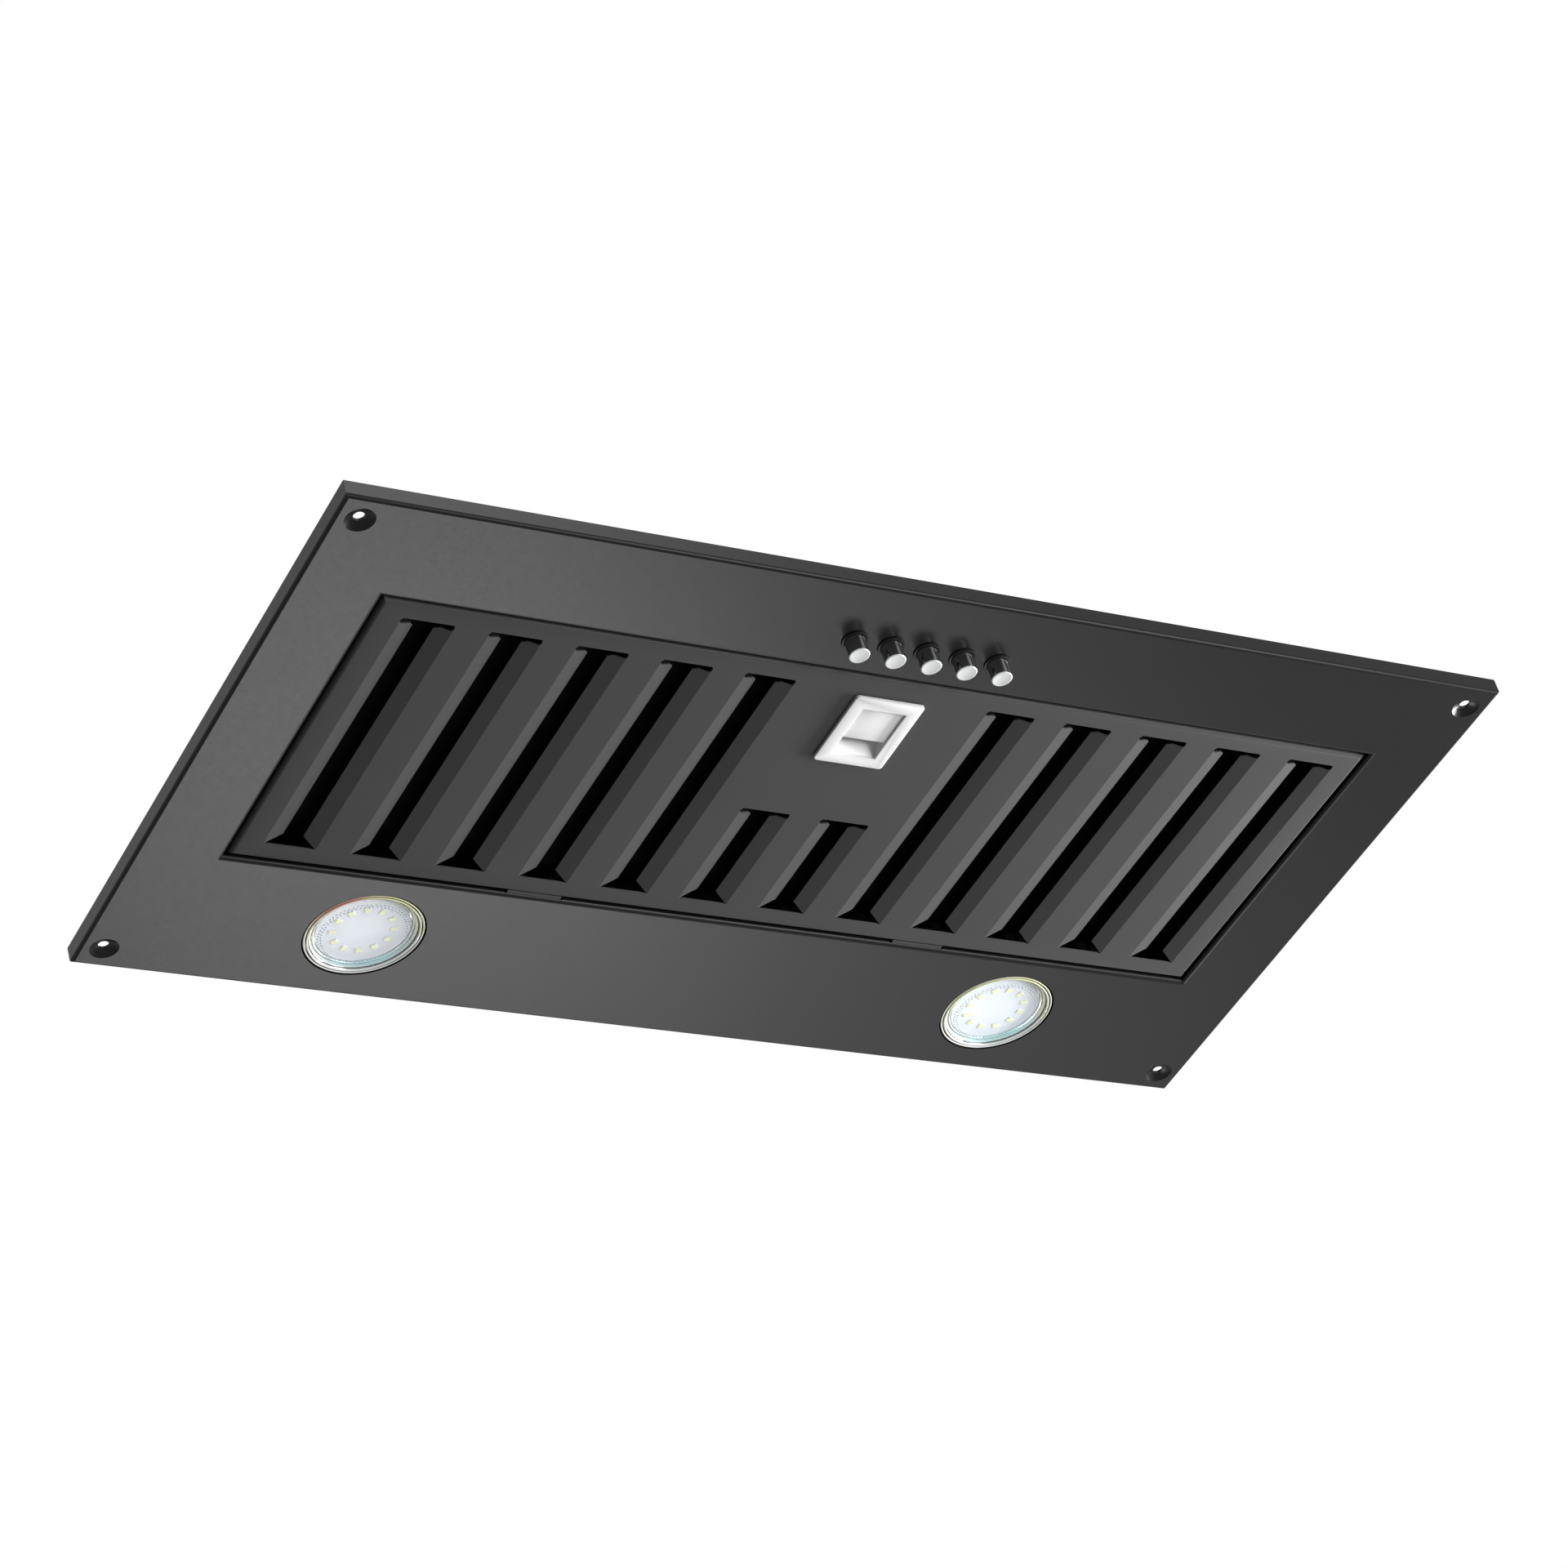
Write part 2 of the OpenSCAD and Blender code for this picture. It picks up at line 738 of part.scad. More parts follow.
module top_cover() color("#85888c") from_face() difference() {
    translate([-cover_x, cover_y0, body_h]) cube([2 * cover_x, cover_y1 - cover_y0, cover_sheet]);
    translate([0, duct_y, body_h - over]) cylinder(r = collar_bore_r, h = cover_sheet + 2 * over);
    cover_screw_places() translate([0, 0, -over])
        cylinder(r = shank_r + small_gap, h = cover_sheet + 2 * over);
    outlet_screw_places() translate([0, 0, -over])
        cylinder(r = shank_r + small_gap, h = cover_sheet + 2 * over);
    collar_screw_places() translate([0, 0, -2 * over]) cylinder(r = shank_r + small_gap, h = 3 * over);
    translate([cap_x, cap_y, body_h - over]) cylinder(r = cap_stud_r + small_gap,
        h = cover_sheet + 2 * over);
}

module top_cover_screws() color("#b0b0b0") from_face() translate([0, 0, cover_sheet]) {
    cover_screw_places() sheet_screw();
    outlet_screw_places() sheet_screw();
}

// Duct collar, with a ledge inside that the damper flaps close on
module duct_collar() color("#2e2f31") from_face() difference() {
    translate([0, duct_y, collar_z]) {
        difference() {
            union() {
                cylinder(r = collar_r, h = collar_h);
                linear_extrude(height = collar_t) {
                    circle(r = collar_flange_r);
                    for (angle = [45 : 90 : 315]) rotate(angle) {
                        translate([collar_ear_place, 0]) circle(r = collar_ear_r);
                        translate([collar_r, -collar_ear_r]) square([collar_ear_place - collar_r,
                            2 * collar_ear_r]);
                    }
                }
            }
            translate([0, 0, -over]) cylinder(r = collar_bore_r, h = collar_h + 2 * over);
        }
        rotate_extrude() translate([collar_bore_r - ledge_w, ledge_top - collar_z - ledge_h])
            square([ledge_w + collar_t / 2, ledge_h]);
    }
    collar_screw_places() translate([0, 0, -over])
        cylinder(r = shank_r + small_gap, h = collar_t + 2 * over);
    translate([0, duct_y, rod_z]) rotate([0, 90, 0])
        cylinder(r = rod_r + fit_gap, h = 2 * collar_d, center = true);
}

module collar_screws() color("#b0b0b0") from_face() collar_screw_places()
    translate([0, 0, collar_t]) sheet_screw();

module damper_rod() color("#a8a8a8") from_face() translate([0, duct_y, rod_z])
    rotate([0, 90, 0]) cylinder(r = rod_r, h = collar_d - collar_t / 2, center = true);

// A damper flap is a half disc with two knuckles on the rod, drawn on the back half
module damper_flap(knuckle_x) difference() {
    union() {
        intersection() {
            translate([0, 0, -flap_t / 2]) cylinder(r = collar_bore_r - flap_gap, h = flap_t);
            translate([-collar_r, flap_strip, -flap_t]) cube([collar_d, collar_r, 2 * flap_t]);
        }
        for (x = knuckle_x) translate([x, 0, 0]) {
            rotate([0, 90, 0]) cylinder(r = knuckle_r, h = knuckle_l);
            translate([0, 0, -flap_t / 2]) cube([knuckle_l, flap_strip + over, flap_t]);
        }
    }
    rotate([0, 90, 0]) cylinder(r = rod_r + fit_gap, h = collar_d, center = true);
}

module damper_flap_back() color("#34363a") from_face() translate([0, duct_y, rod_z])
    damper_flap([-2 * knuckle_l - 2 * knuckle_gap, knuckle_gap]);

module damper_flap_front() color("#34363a") from_face() translate([0, duct_y, rod_z])
    rotate([0, 0, 180]) damper_flap([-2 * knuckle_l - 2 * knuckle_gap, knuckle_gap]);

// Grease filter: a folded front sheet whose slots have inward flaps, over a row of channel baffles
function slot_x(i) = (i - (slot_count - 1) / 2) * slot_pitch;
function is_short(i) = abs(slot_x(i)) < slot_pitch;
function slot_length(i) = is_short(i) ? slot_short_l : slot_l;

module slot_places() for (i = [0 : slot_count - 1]) {
    $slot = slot_length(i);
    translate([slot_x(i), slot_y1 - slot_length(i) / 2, filter_recess]) children();
}

module slot_flap(l) rotate([0, -flap_angle, 0]) linear_extrude(height = filter_t)
    polygon([[0, -l / 2], [flap_l, flap_mitre - l / 2], [flap_l, l / 2 - flap_mitre], [0, l / 2]]);

module latch_hole(gap) translate([-bezel_body_w / 2 - gap, bezel_body_y0 - gap, filter_recess - over])
    cube([bezel_body_w + 2 * gap, bezel_body_y1 - bezel_body_y0 + 2 * gap, filter_t + 2 * over]);

module bolt_hole(y0, y1) translate([-bolt_w / 2 - slide_gap, y0, bolt_z - slide_gap])
    cube([bolt_w + 2 * slide_gap, y1 - y0, bolt_t + 2 * slide_gap]);

module filter_front_sheet() color("#48494b") from_face() {
    difference() {
        translate([0, opening_y, filter_recess]) folded_block(filter_w, filter_d, filter_rim_h, filter_r);
        translate([0, opening_y, filter_recess + filter_t])
            folded_block(filter_w - 2 * filter_t, filter_d - 2 * filter_t, filter_rim_h,
                filter_r - filter_t);
        slot_places() translate([-slot_w / 2, -$slot / 2, -over])
            cube([slot_w, $slot, filter_t + 2 * over]);
        latch_hole(small_gap);
        bolt_hole(filter_y0 - over, filter_y0 + filter_r + over);
        tab_slots(small_gap);
        rivet_places() rotate([90, 0, 0]) cylinder(r = rivet_r, h = 4 * over, center = true);
    }
    slot_places() both_sides() translate([-slot_w / 2, 0, 0]) slot_flap($slot);
}

module baffle_outline() difference() {
    translate([-baffle_w / 2, 0]) square([baffle_w, baffle_h]);
    translate([-baffle_w / 2 + baffle_t, -over])
        square([baffle_w - 2 * baffle_t, baffle_h - baffle_t + over]);
}

module filter_baffles() color("#5a5b5d") from_face() for (i = [0 : slot_count - 1]) {
    l = slot_length(i) + 2 * baffle_lap;
    translate([slot_x(i), slot_y1 - slot_length(i) / 2, frame_top - frame_t - baffle_h])
        along_y(l) baffle_outline();
}

// Frame inside the filter's rim: four walls, a top ledge and a cross rail behind the latch
module filter_frame() color("#77797c") from_face() {
    outer_w = filter_w - 2 * filter_t - 2 * small_gap;
    outer_d = filter_d - 2 * filter_t - 2 * small_gap;
    cross_y = slot_y1 - slot_short_l - baffle_lap;
    difference() {
        translate([-outer_w / 2, opening_y - outer_d / 2, frame_z + filter_r])
            cube([outer_w, outer_d, frame_h - filter_r]);
        translate([-outer_w / 2 + frame_t, opening_y - outer_d / 2 + frame_t, frame_z])
            cube([outer_w - 2 * frame_t, outer_d - 2 * frame_t, frame_h - frame_t]);
        translate([-outer_w / 2 + frame_ledge, opening_y - outer_d / 2 + frame_ledge, frame_z])
            cube([outer_w - 2 * frame_ledge, outer_d - 2 * frame_ledge, frame_h + over]);
        bolt_hole(filter_y0, filter_y0 + filter_r + 2 * over);
        rivet_places() rotate([90, 0, 0]) cylinder(r = rivet_r, h = 6 * over, center = true);
    }
    translate([-1.5 * slot_pitch, cross_y, frame_top - frame_t])
        cube([3 * slot_pitch, frame_ledge, frame_t]);
    for (x = [-1, 1]) translate([x * slot_pitch - frame_ledge / 2,
        opening_y - outer_d / 2 + frame_ledge - over, frame_top - frame_t])
        cube([frame_ledge, cross_y + 2 * over - opening_y + outer_d / 2 - frame_ledge, frame_t]);
}

// Hinge tabs: riveted to the filter's back rim, they rest on the panel behind the opening
module tab_slots(gap) both_sides()
    translate([tab_x - tab_w / 2 - gap, filter_y1 - filter_t - over, tab_z - gap])
        cube([tab_w + 2 * gap, filter_t + 2 * over, tab_t + 2 * gap]);

module rivet_places() both_sides() for (x = [-1, 1]) {
    translate([tab_x + x * rivet_pitch / 2, filter_y1, tab_z + rivet_up]) children();
}

module filter_hinge_tabs() color("#8d8f92") from_face() both_sides() difference() {
    union() {
        translate([tab_x - tab_w / 2, filter_y1, tab_z]) cube([tab_w, tab_out, tab_t]);
        translate([tab_x - tab_w / 2, filter_y1, tab_z])
            cube([tab_w, tab_t, rivet_up + rivet_head_r + tab_t]);
    }
    for (x = [-1, 1]) translate([tab_x + x * rivet_pitch / 2, filter_y1, tab_z + rivet_up])
        rotate([90, 0, 0]) cylinder(r = rivet_r, h = 4 * over, center = true);
}

module filter_rivets() color("#c2c2c2") from_face() rivet_places() {
    stack = tab_t + filter_t + small_gap + frame_t;
    translate([0, tab_t, 0]) rotate([90, 0, 0]) cylinder(r = rivet_r, h = stack);
    translate([0, tab_t + rivet_head_h, 0]) rotate([90, 0, 0]) cylinder(r = rivet_head_r, h = rivet_head_h);
    translate([0, tab_t - stack, 0]) rotate([90, 0, 0]) cylinder(r = rivet_head_r, h = rivet_head_h);
}

// Latch: a pale bezel with a finger ramp, a slider with a bolt, and its spring. The ramp rises at
// 45 degrees from the window's back edge, and its ends run into the pocket's back wall and roof
module finger_ramp() {
    wall_y = window_y1 + over;
    ramp_y0 = window_y1 - pocket_z1 + pocket_z0;
    roof_z = pocket_z1 + bezel_roof_t / 2;
    along_x(window_w + 2 * pocket_side + over)
        polygon([[window_y1, pocket_z0], [wall_y, pocket_z0], [wall_y, roof_z], [ramp_y0, roof_z],
            [ramp_y0, pocket_z1]]);
}

module latch_bezel() color("#e2e2e2") from_face() difference() {
    union() {
        translate([0, bezel_y, bezel_z0]) linear_extrude(height = bezel_proud)
            rounded_rect(bezel_w, bezel_d, bezel_r);
        difference() {
            translate([-bezel_body_w / 2, bezel_body_y0, filter_recess])
                cube([bezel_body_w, bezel_body_y1 - bezel_body_y0, bezel_top - filter_recess]);
            translate([-window_w / 2 - pocket_side, pocket_y0, filter_recess - over])
                cube([window_w + 2 * pocket_side, window_y1 - pocket_y0, pocket_z1 - filter_recess + over]);
        }
        finger_ramp();
        translate([spring_x - spring_r, rib_y, bolt_z])
            cube([2 * spring_r, arm_t, pocket_z1 - bolt_z + over / 2]);
    }
    translate([-window_w / 2, window_y0, bezel_z0 - over]) cube([window_w, window_d, bezel_lip_t + over]);
    difference() {
        translate([-window_w / 2 - pocket_side, pocket_y0, pocket_z0])
            cube([window_w + 2 * pocket_side, window_y1 - pocket_y0,
                filter_recess - pocket_z0 + small_gap]);
        finger_ramp();
    }
    bolt_hole(bezel_body_y0 - over, pocket_y0 + over);
}

module latch_slider() color("#d9d9d9") from_face() {
    pad_w = window_w + 2 * pad_side;
    translate([-pad_w / 2, pad_y0, pad_z]) cube([pad_w, pad_y1 - pad_y0, pad_t]);
    translate([-neck_w / 2, bolt_y1 - neck_d, pad_z + pad_t / 2]) cube([neck_w, neck_d, bolt_z - pad_z]);
    translate([-bolt_w / 2, bolt_tip, bolt_z]) cube([bolt_w, bolt_y1 - bolt_tip, bolt_t]);
    translate([arm_x0, arm_y, bolt_z]) cube([arm_x1 - arm_x0, arm_t, bolt_t]);
}

// Points of the spring's wire: rings of spring_sides points along a helix about +Y
function coil_point(turn, side, pitch) =
    let (angle = 360 * turn, ring = 360 * side / spring_sides,
        reach = spring_r - spring_wire_r + spring_wire_r * cos(ring))
    [reach * cos(angle), pitch * turn + spring_wire_r * sin(ring), reach * sin(angle)];

module latch_spring() color("#b8b8b8") from_face() {
    length = rib_y - arm_y - arm_t;
    rings = spring_turns * spring_steps;
    pitch = (length - 2 * spring_wire_r - small_gap) / spring_turns;
    points = [for (i = [0 : rings], j = [0 : spring_sides - 1]) coil_point(i / spring_steps, j, pitch)];
    walls = [for (i = [0 : rings - 1], j = [0 : spring_sides - 1])
        let (k = (j + 1) % spring_sides)
        [i * spring_sides + j, i * spring_sides + k, (i + 1) * spring_sides + k,
            (i + 1) * spring_sides + j]];
    start_cap = [for (j = [spring_sides - 1 : -1 : 0]) j];
    end_cap = [for (j = [0 : spring_sides - 1]) rings * spring_sides + j];
    translate([spring_x, arm_y + arm_t + spring_wire_r + small_gap / 2, spring_z])
        polyhedron(points = points, faces = concat([start_cap, end_cap], walls), convexity = 10);
}

// Push buttons: a round cap with a retaining collar, and the switch stem that it presses
module button(i) color("#d8d8da") from_face()
    translate([(i - (button_count - 1) / 2) * button_pitch, button_y, 0]) rotate_extrude() {
        square_h = button_top + button_out;
        translate([0, -button_out + button_edge]) square([button_r, square_h - button_edge]);
        translate([0, -button_out]) square([button_r - button_edge, square_h]);
        translate([button_r - button_edge, -button_out + button_edge]) circle(r = button_edge);
        translate([0, button_collar_z]) square([button_collar_r, button_collar_h]);
    }

module stem(i) color("#1f1f21") from_face()
    translate([(i - (button_count - 1) / 2) * button_pitch - stem_w / 2, button_y - stem_w / 2, button_top])
        cube([stem_w, stem_w, stem_top - button_top]);

module button_off() button(0);
module button_speed_low() button(1);
module button_speed_medium() button(2);
module button_speed_high() button(3);
module button_lamp() button(4);
module stem_off() stem(0);
module stem_speed_low() stem(1);
module stem_speed_medium() stem(2);
module stem_speed_high() stem(3);
module stem_lamp() stem(4);

module button_ferrules() color("#101011") from_face() button_places() rotate_extrude() {
    translate([ferrule_bore_r, 0]) square([ferrule_neck_r - ferrule_bore_r, ferrule_top]);
    translate([ferrule_bore_r, -ferrule_flange_h])
        square([ferrule_flange_r - ferrule_bore_r, ferrule_flange_h]);
}

// Switch bracket: a folded hat over the buttons that carries the switch block
module switch_bracket() color("#8f9194") from_face() difference() {
    union() {
        translate([-hat_w / 2, button_y - hat_d / 2, hat_top - hat_t]) cube([hat_w, hat_d, hat_t]);
        both_sides() {
            translate([hat_w / 2 - hat_t, button_y - hat_d / 2, panel_t])
                cube([hat_t, hat_d, hat_top - panel_t]);
            translate([hat_w / 2 - hat_t, button_y - hat_d / 2, panel_t]) cube([hat_foot, hat_d, body_t]);
        }
    }
    button_places() translate([0, 0, hat_top - hat_t - over]) cylinder(r = stem_w, h = hat_t + 2 * over);
    both_sides() translate([hat_stud_x, button_y, 0])
        cylinder(r = stud_foot_r + small_gap, h = panel_t + 2 * over);
}

module switch_block() color("#26272a") from_face() difference() {
    translate([-block_w / 2, button_y - block_d / 2, hat_top]) cube([block_w, block_d, block_h]);
    button_places() translate([-stem_w / 2 - slide_gap, -stem_w / 2 - slide_gap, hat_top - over])
        cube([stem_w + 2 * slide_gap, stem_w + 2 * slide_gap, stem_well_h + over]);
}

module switch_terminals() color("#c9a86a") from_face() button_places() for (y = [-1, 1]) {
    translate([-terminal_w / 2, y * terminal_gap / 2 - terminal_t / 2, hat_top + block_h])
        cube([terminal_w, terminal_t, terminal_h]);
}

// Lamps: glass cup, clear cover, board with its diodes, base with pins, socket and strap bracket
module lamp_place(side) from_face() translate([side * lamp_x, lamp_y, 0]) children();

module lamp_cover() color("#dfe8ee", 0.4) translate([0, 0, cover_z]) cylinder(r = cover_r, h = cover_t);

module lamp_cup() color("#cfd6da", 0.6) rotate_extrude() difference() {
    union() {
        translate([0, lamp_face]) square([lamp_r, lamp_rim_h]);
        polygon([[0, lamp_face + lamp_rim_h], [lamp_r, lamp_face + lamp_rim_h], [neck_r, cup_cone_z],
            [0, cup_cone_z]]);
        translate([0, cup_cone_z]) square([neck_r, cup_h - cup_cone_z]);
    }
    square([lamp_bore_r, board_z]);
    translate([0, board_z - over]) square([led_board_d / 2 + small_gap, board_t + over]);
    polygon([[0, board_z], [led_board_d / 2 - cup_wall, board_z],
        [led_board_d / 2 - cup_wall, board_z + board_t],
        [neck_bore_r, cup_cone_z - cup_wall], [neck_bore_r, cup_h + over], [0, cup_h + over]]);
}

module lamp_board() color("#e9eef4") {
    translate([0, 0, board_z]) cylinder(r = led_board_d / 2, h = board_t);
    for (i = [0 : led_count - 1]) rotate([0, 0, i * 360 / led_count])
        translate([led_ring_r, 0, board_z - led_h]) cylinder(r = led_r, h = 2 * led_h);
}

module lamp_base() color("#ededeb") {
    translate([0, 0, base_z]) cylinder(r = base_r, h = base_top - base_z);
    translate([0, 0, cup_h]) cylinder(r = base_cap_r, h = base_top - cup_h);
    for (x = [-1, 1]) translate([x * pin_x, 0, base_top]) cylinder(r = pin_r, h = pin_h);
}

module lamp_socket() color("#f2f1ec") difference() {
    translate([0, 0, base_top]) cylinder(r = socket_r, h = socket_h);
    for (x = [-1, 1]) translate([x * pin_x, 0, base_top - over])
        cylinder(r = socket_hole_r, h = socket_hole_h + over);
    for (y = [-1, 1]) translate([0, y * socket_screw_x, socket_top - socket_hole_h])
        cylinder(r = motor_screw_r, h = socket_hole_h + over);
}

module lamp_bracket() difference() {
    union() {
        translate([-strap_half, -strap_w / 2, socket_top]) cube([2 * strap_half, strap_w, body_t]);
        for (side = [-1, 1]) {
            translate([side * (strap_half - body_t / 2) - body_t / 2, -strap_w / 2, panel_t])
                cube([body_t, strap_w, socket_top + body_t - panel_t]);
            translate([side * (strap_half + strap_foot / 2 - body_t / 2) - strap_foot / 2, -strap_w / 2,
                panel_t])
                cube([strap_foot, strap_w, body_t]);
        }
    }
    for (side = [-1, 1]) translate([side * strap_stud, 0, 0])
        cylinder(r = stud_foot_r + small_gap, h = panel_t + 2 * over);
    for (y = [-1, 1]) translate([0, y * socket_screw_x, socket_top - over])
        cylinder(r = motor_screw_r, h = 3 * over);
}

module lamp_cover_left() lamp_place(-1) lamp_cover();
module lamp_cover_right() lamp_place(1) lamp_cover();
module lamp_cup_left() lamp_place(-1) lamp_cup();
module lamp_cup_right() lamp_place(1) lamp_cup();
module lamp_board_left() lamp_place(-1) lamp_board();
module lamp_board_right() lamp_place(1) lamp_board();
module lamp_base_left() lamp_place(-1) lamp_base();
module lamp_base_right() lamp_place(1) lamp_base();
module lamp_socket_left() lamp_place(-1) lamp_socket();
module lamp_socket_right() lamp_place(1) lamp_socket();
module lamp_brackets() color("#96989b") for (side = [-1, 1]) lamp_place(side) lamp_bracket();

// Blower casing: a spiral in four quarters with an upward outlet, split into halves at x = 0
module spiral_outline(grow) {
    e = spiral_add_r;
    for (q = [0 : 2]) translate(quarter_centre(q)) intersection() {
        circle(r = quarter_radius(q) + grow, $fn = 96);
        rotate(90 * (q + 1)) square(quarter_radius(q) + grow);
    }
    translate([-e / 2, 0]) square([tongue_y - grow + e / 2, tongue_r - e / 2]);
    circle(r = tongue_r + grow, $fn = 96);
    translate([tongue_y - grow, -e]) square([outlet_y1 - tongue_y + 2 * grow, outlet_h + e]);
}

function quarter_centre(q) = [q == 0 ? -spiral_add_r / 2 : spiral_add_r / 2,
    q == 2 ? spiral_add_r / 2 : -spiral_add_r / 2];
function quarter_radius(q) = spiral_r + q * spiral_add_r;
function lug_place(station) = quarter_centre(station[0])
    + (quarter_radius(station[0]) + casing_t + head_r + small_gap) * [cos(station[1]), sin(station[1])];

module casing_lug_places() for (station = lug_stations) {
    translate([0, lug_place(station)[0], lug_place(station)[1]]) children();
}

module casing_whole() difference() {
    union() {
        along_x(2 * casing_half_w) spiral_outline(casing_t);
        along_x(2 * seam_t) intersection() {
            spiral_outline(casing_t + seam_w);
            translate([-2 * wheel_r - outlet_y1, -2 * wheel_r - outlet_y1])
                square([4 * wheel_r + 3 * outlet_y1, 2 * wheel_r + outlet_y1 + outlet_h - outlet_flange_t]);
        }
        translate([-casing_half_w - outlet_flange_w, tongue_y - casing_t - outlet_flange_side,
            outlet_h - outlet_flange_t])
            cube([2 * (casing_half_w + outlet_flange_w),
                outlet_y1 - tongue_y + 2 * casing_t + 2 * outlet_flange_side, outlet_flange_t]);
        for (angle = motor_arm_angles) rotate([angle, 0, 0])
            translate([-casing_half_w + over, motor_arm_r, 0])
            rotate([0, -90, 0]) cylinder(r = boss_r, h = over - bracket_x - casing_half_w - grommet_t);
        casing_lug_places() rotate([0, 90, 0]) cylinder(r = lug_r, h = 2 * seam_t, center = true);
        both_sides() translate([casing_half_w, 0, 0]) bell_mouth();
    }
    along_x(2 * (casing_half_w - casing_t)) spiral_outline(0);
    rotate([0, 90, 0]) cylinder(r = inlet_r, h = 3 * casing_half_w, center = true);
    for (angle = motor_arm_angles) rotate([angle, 0, 0])
        translate([-casing_half_w + casing_t / 2, motor_arm_r, 0])
        rotate([0, -90, 0]) cylinder(r = motor_screw_r, h = casing_t - bracket_x - casing_half_w);
    both_sides() for (y = [outlet_screw_y0, outlet_screw_y1])
        translate([outlet_screw_x, y - wheel_y, outlet_h - outlet_flange_t - over])
        cylinder(r = shank_r, h = outlet_flange_t + 2 * over);
}

module bell_mouth() rotate([0, 90, 0]) rotate_extrude() intersection() {
    translate([inlet_r + bell_r, 0]) difference() {
        circle(r = bell_r);
        circle(r = bell_r - casing_t);
    }
    translate([inlet_r, -casing_t / 2]) square([2 * bell_r, bell_r + casing_t]);
}

module casing_half(side) color("#3a3c40") from_face() translate([0, wheel_y, wheel_z]) difference() {
    intersection() {
        casing_whole();
        translate([side < 0 ? -2 * casing_half_w : 0, -panel_d, -panel_d])
            cube([2 * casing_half_w, 2 * panel_d, 2 * panel_d]);
    }
    casing_lug_places() rotate([0, 90, 0]) cylinder(r = motor_screw_r, h = 4 * seam_t, center = true);
}

module casing_left() casing_half(-1);
module casing_right() casing_half(1);

module casing_screws() color("#b0b0b0") from_face() translate([0, wheel_y, wheel_z]) casing_lug_places()
    translate([seam_t, 0, 0]) rotate([0, 90, 0]) sheet_screw(2 * seam_t + over);

// Fan wheel: two rows of forward-curved blades between rings, on a middle disc with a hub
module blade_outline() intersection() {
    translate([blade_in, blade_bend_r]) difference() {
        circle(r = blade_bend_r + blade_t / 2);
        circle(r = blade_bend_r - blade_t / 2);
    }
    translate([blade_in, -blade_t]) square([2 * blade_bend_r, blade_bend_r + blade_t]);
}

module impeller() color("#2b2d30") from_face() translate([0, wheel_y, wheel_z]) rotate([0, 90, 0]) {
    for (i = [0 : blade_count - 1]) rotate([0, 0, (i + 0.5) * 360 / blade_count])
        linear_extrude(height = wheel_w - wheel_ring_t, center = true) blade_outline();
    for (z = [-wheel_w / 2, wheel_w / 2 - wheel_ring_t]) translate([0, 0, z]) difference() {
        cylinder(r = wheel_r, h = wheel_ring_t);
        translate([0, 0, -over]) cylinder(r = blade_in + wheel_ring_w, h = wheel_ring_t + 2 * over);
    }
    difference() {
        union() {
            cylinder(r = wheel_r - wheel_ring_w, h = wheel_disc_t, center = true);
            cylinder(r = hub_r, h = hub_l);
        }
        translate([0, 0, -hub_l]) cylinder(r = shaft_r + press_gap, h = 3 * hub_l);
    }
}

// Motor: an outer rotor can on the shaft, a slotted stator on a tube, and a three-armed bracket
module on_axle(x) from_face() translate([x, wheel_y, wheel_z]) rotate([0, 90, 0]) children();

module motor_rotor() color("#6d7074") on_axle(can_x1 - can_l) difference() {
    cylinder(r = can_r, h = can_l);
    translate([0, 0, -over]) cylinder(r = can_r - can_t, h = can_l - can_t + over);
    cylinder(r = shaft_r + press_gap, h = 2 * can_l);
}

module motor_stator() color("#8a5a35") on_axle(stator_x1 - stator_l) difference() {
    union() {
        difference() {
            cylinder(r = stator_r, h = stator_l);
            for (i = [0 : stator_slots - 1]) rotate([0, 0, i * 360 / stator_slots])
                translate([winding_r, -stator_slot_w / 2, -over])
                    cube([stator_r, stator_slot_w, stator_l + 2 * over]);
        }
        translate([0, 0, -winding_h]) cylinder(r = winding_r, h = stator_l + 2 * winding_h);
        translate([0, 0, plate_x + plate_t - stator_x1 + stator_l])
            cylinder(r = tube_r, h = stator_x1 - plate_x - plate_t);
    }
    translate([0, 0, -can_l]) cylinder(r = tube_bore_r, h = 3 * can_l);
}

module motor_shaft() color("#c8c8c8") on_axle(shaft_x0) cylinder(r = shaft_r, h = shaft_l);

module motor_bearings() color("#d0c8a0") for (x = [plate_x + plate_t + over, stator_x1 - bearing_l])
    on_axle(x) difference() {
    cylinder(r = tube_bore_r, h = bearing_l);
    translate([0, 0, -over]) cylinder(r = shaft_r + fit_gap, h = bearing_l + 2 * over);
}

module motor_bracket() color("#a2a4a6") from_face() translate([0, wheel_y, wheel_z]) difference() {
    union() {
        translate([plate_x, 0, 0]) rotate([0, 90, 0]) cylinder(r = plate_r, h = plate_t);
        for (angle = motor_arm_angles) rotate([angle, 0, 0]) {
            translate([bracket_x - plate_t, plate_r - 2 * plate_t, -arm_half_w])
                cube([plate_x - bracket_x + 2 * plate_t, plate_t, 2 * arm_half_w]);
            translate([bracket_x - plate_t, plate_r - 2 * plate_t, -arm_half_w])
                cube([plate_t, motor_arm_r + motor_arm_end - plate_r + 2 * plate_t, 2 * arm_half_w]);
        }
    }
    for (angle = motor_arm_angles) rotate([angle, 0, 0])
        translate([bracket_x - plate_t - over, motor_arm_r, 0])
        rotate([0, 90, 0]) cylinder(r = grommet_neck_r + press_gap, h = plate_t + 2 * over);
    rotate([0, 90, 0]) cylinder(r = shaft_r + slide_gap, h = 3 * casing_half_w, center = true);
}

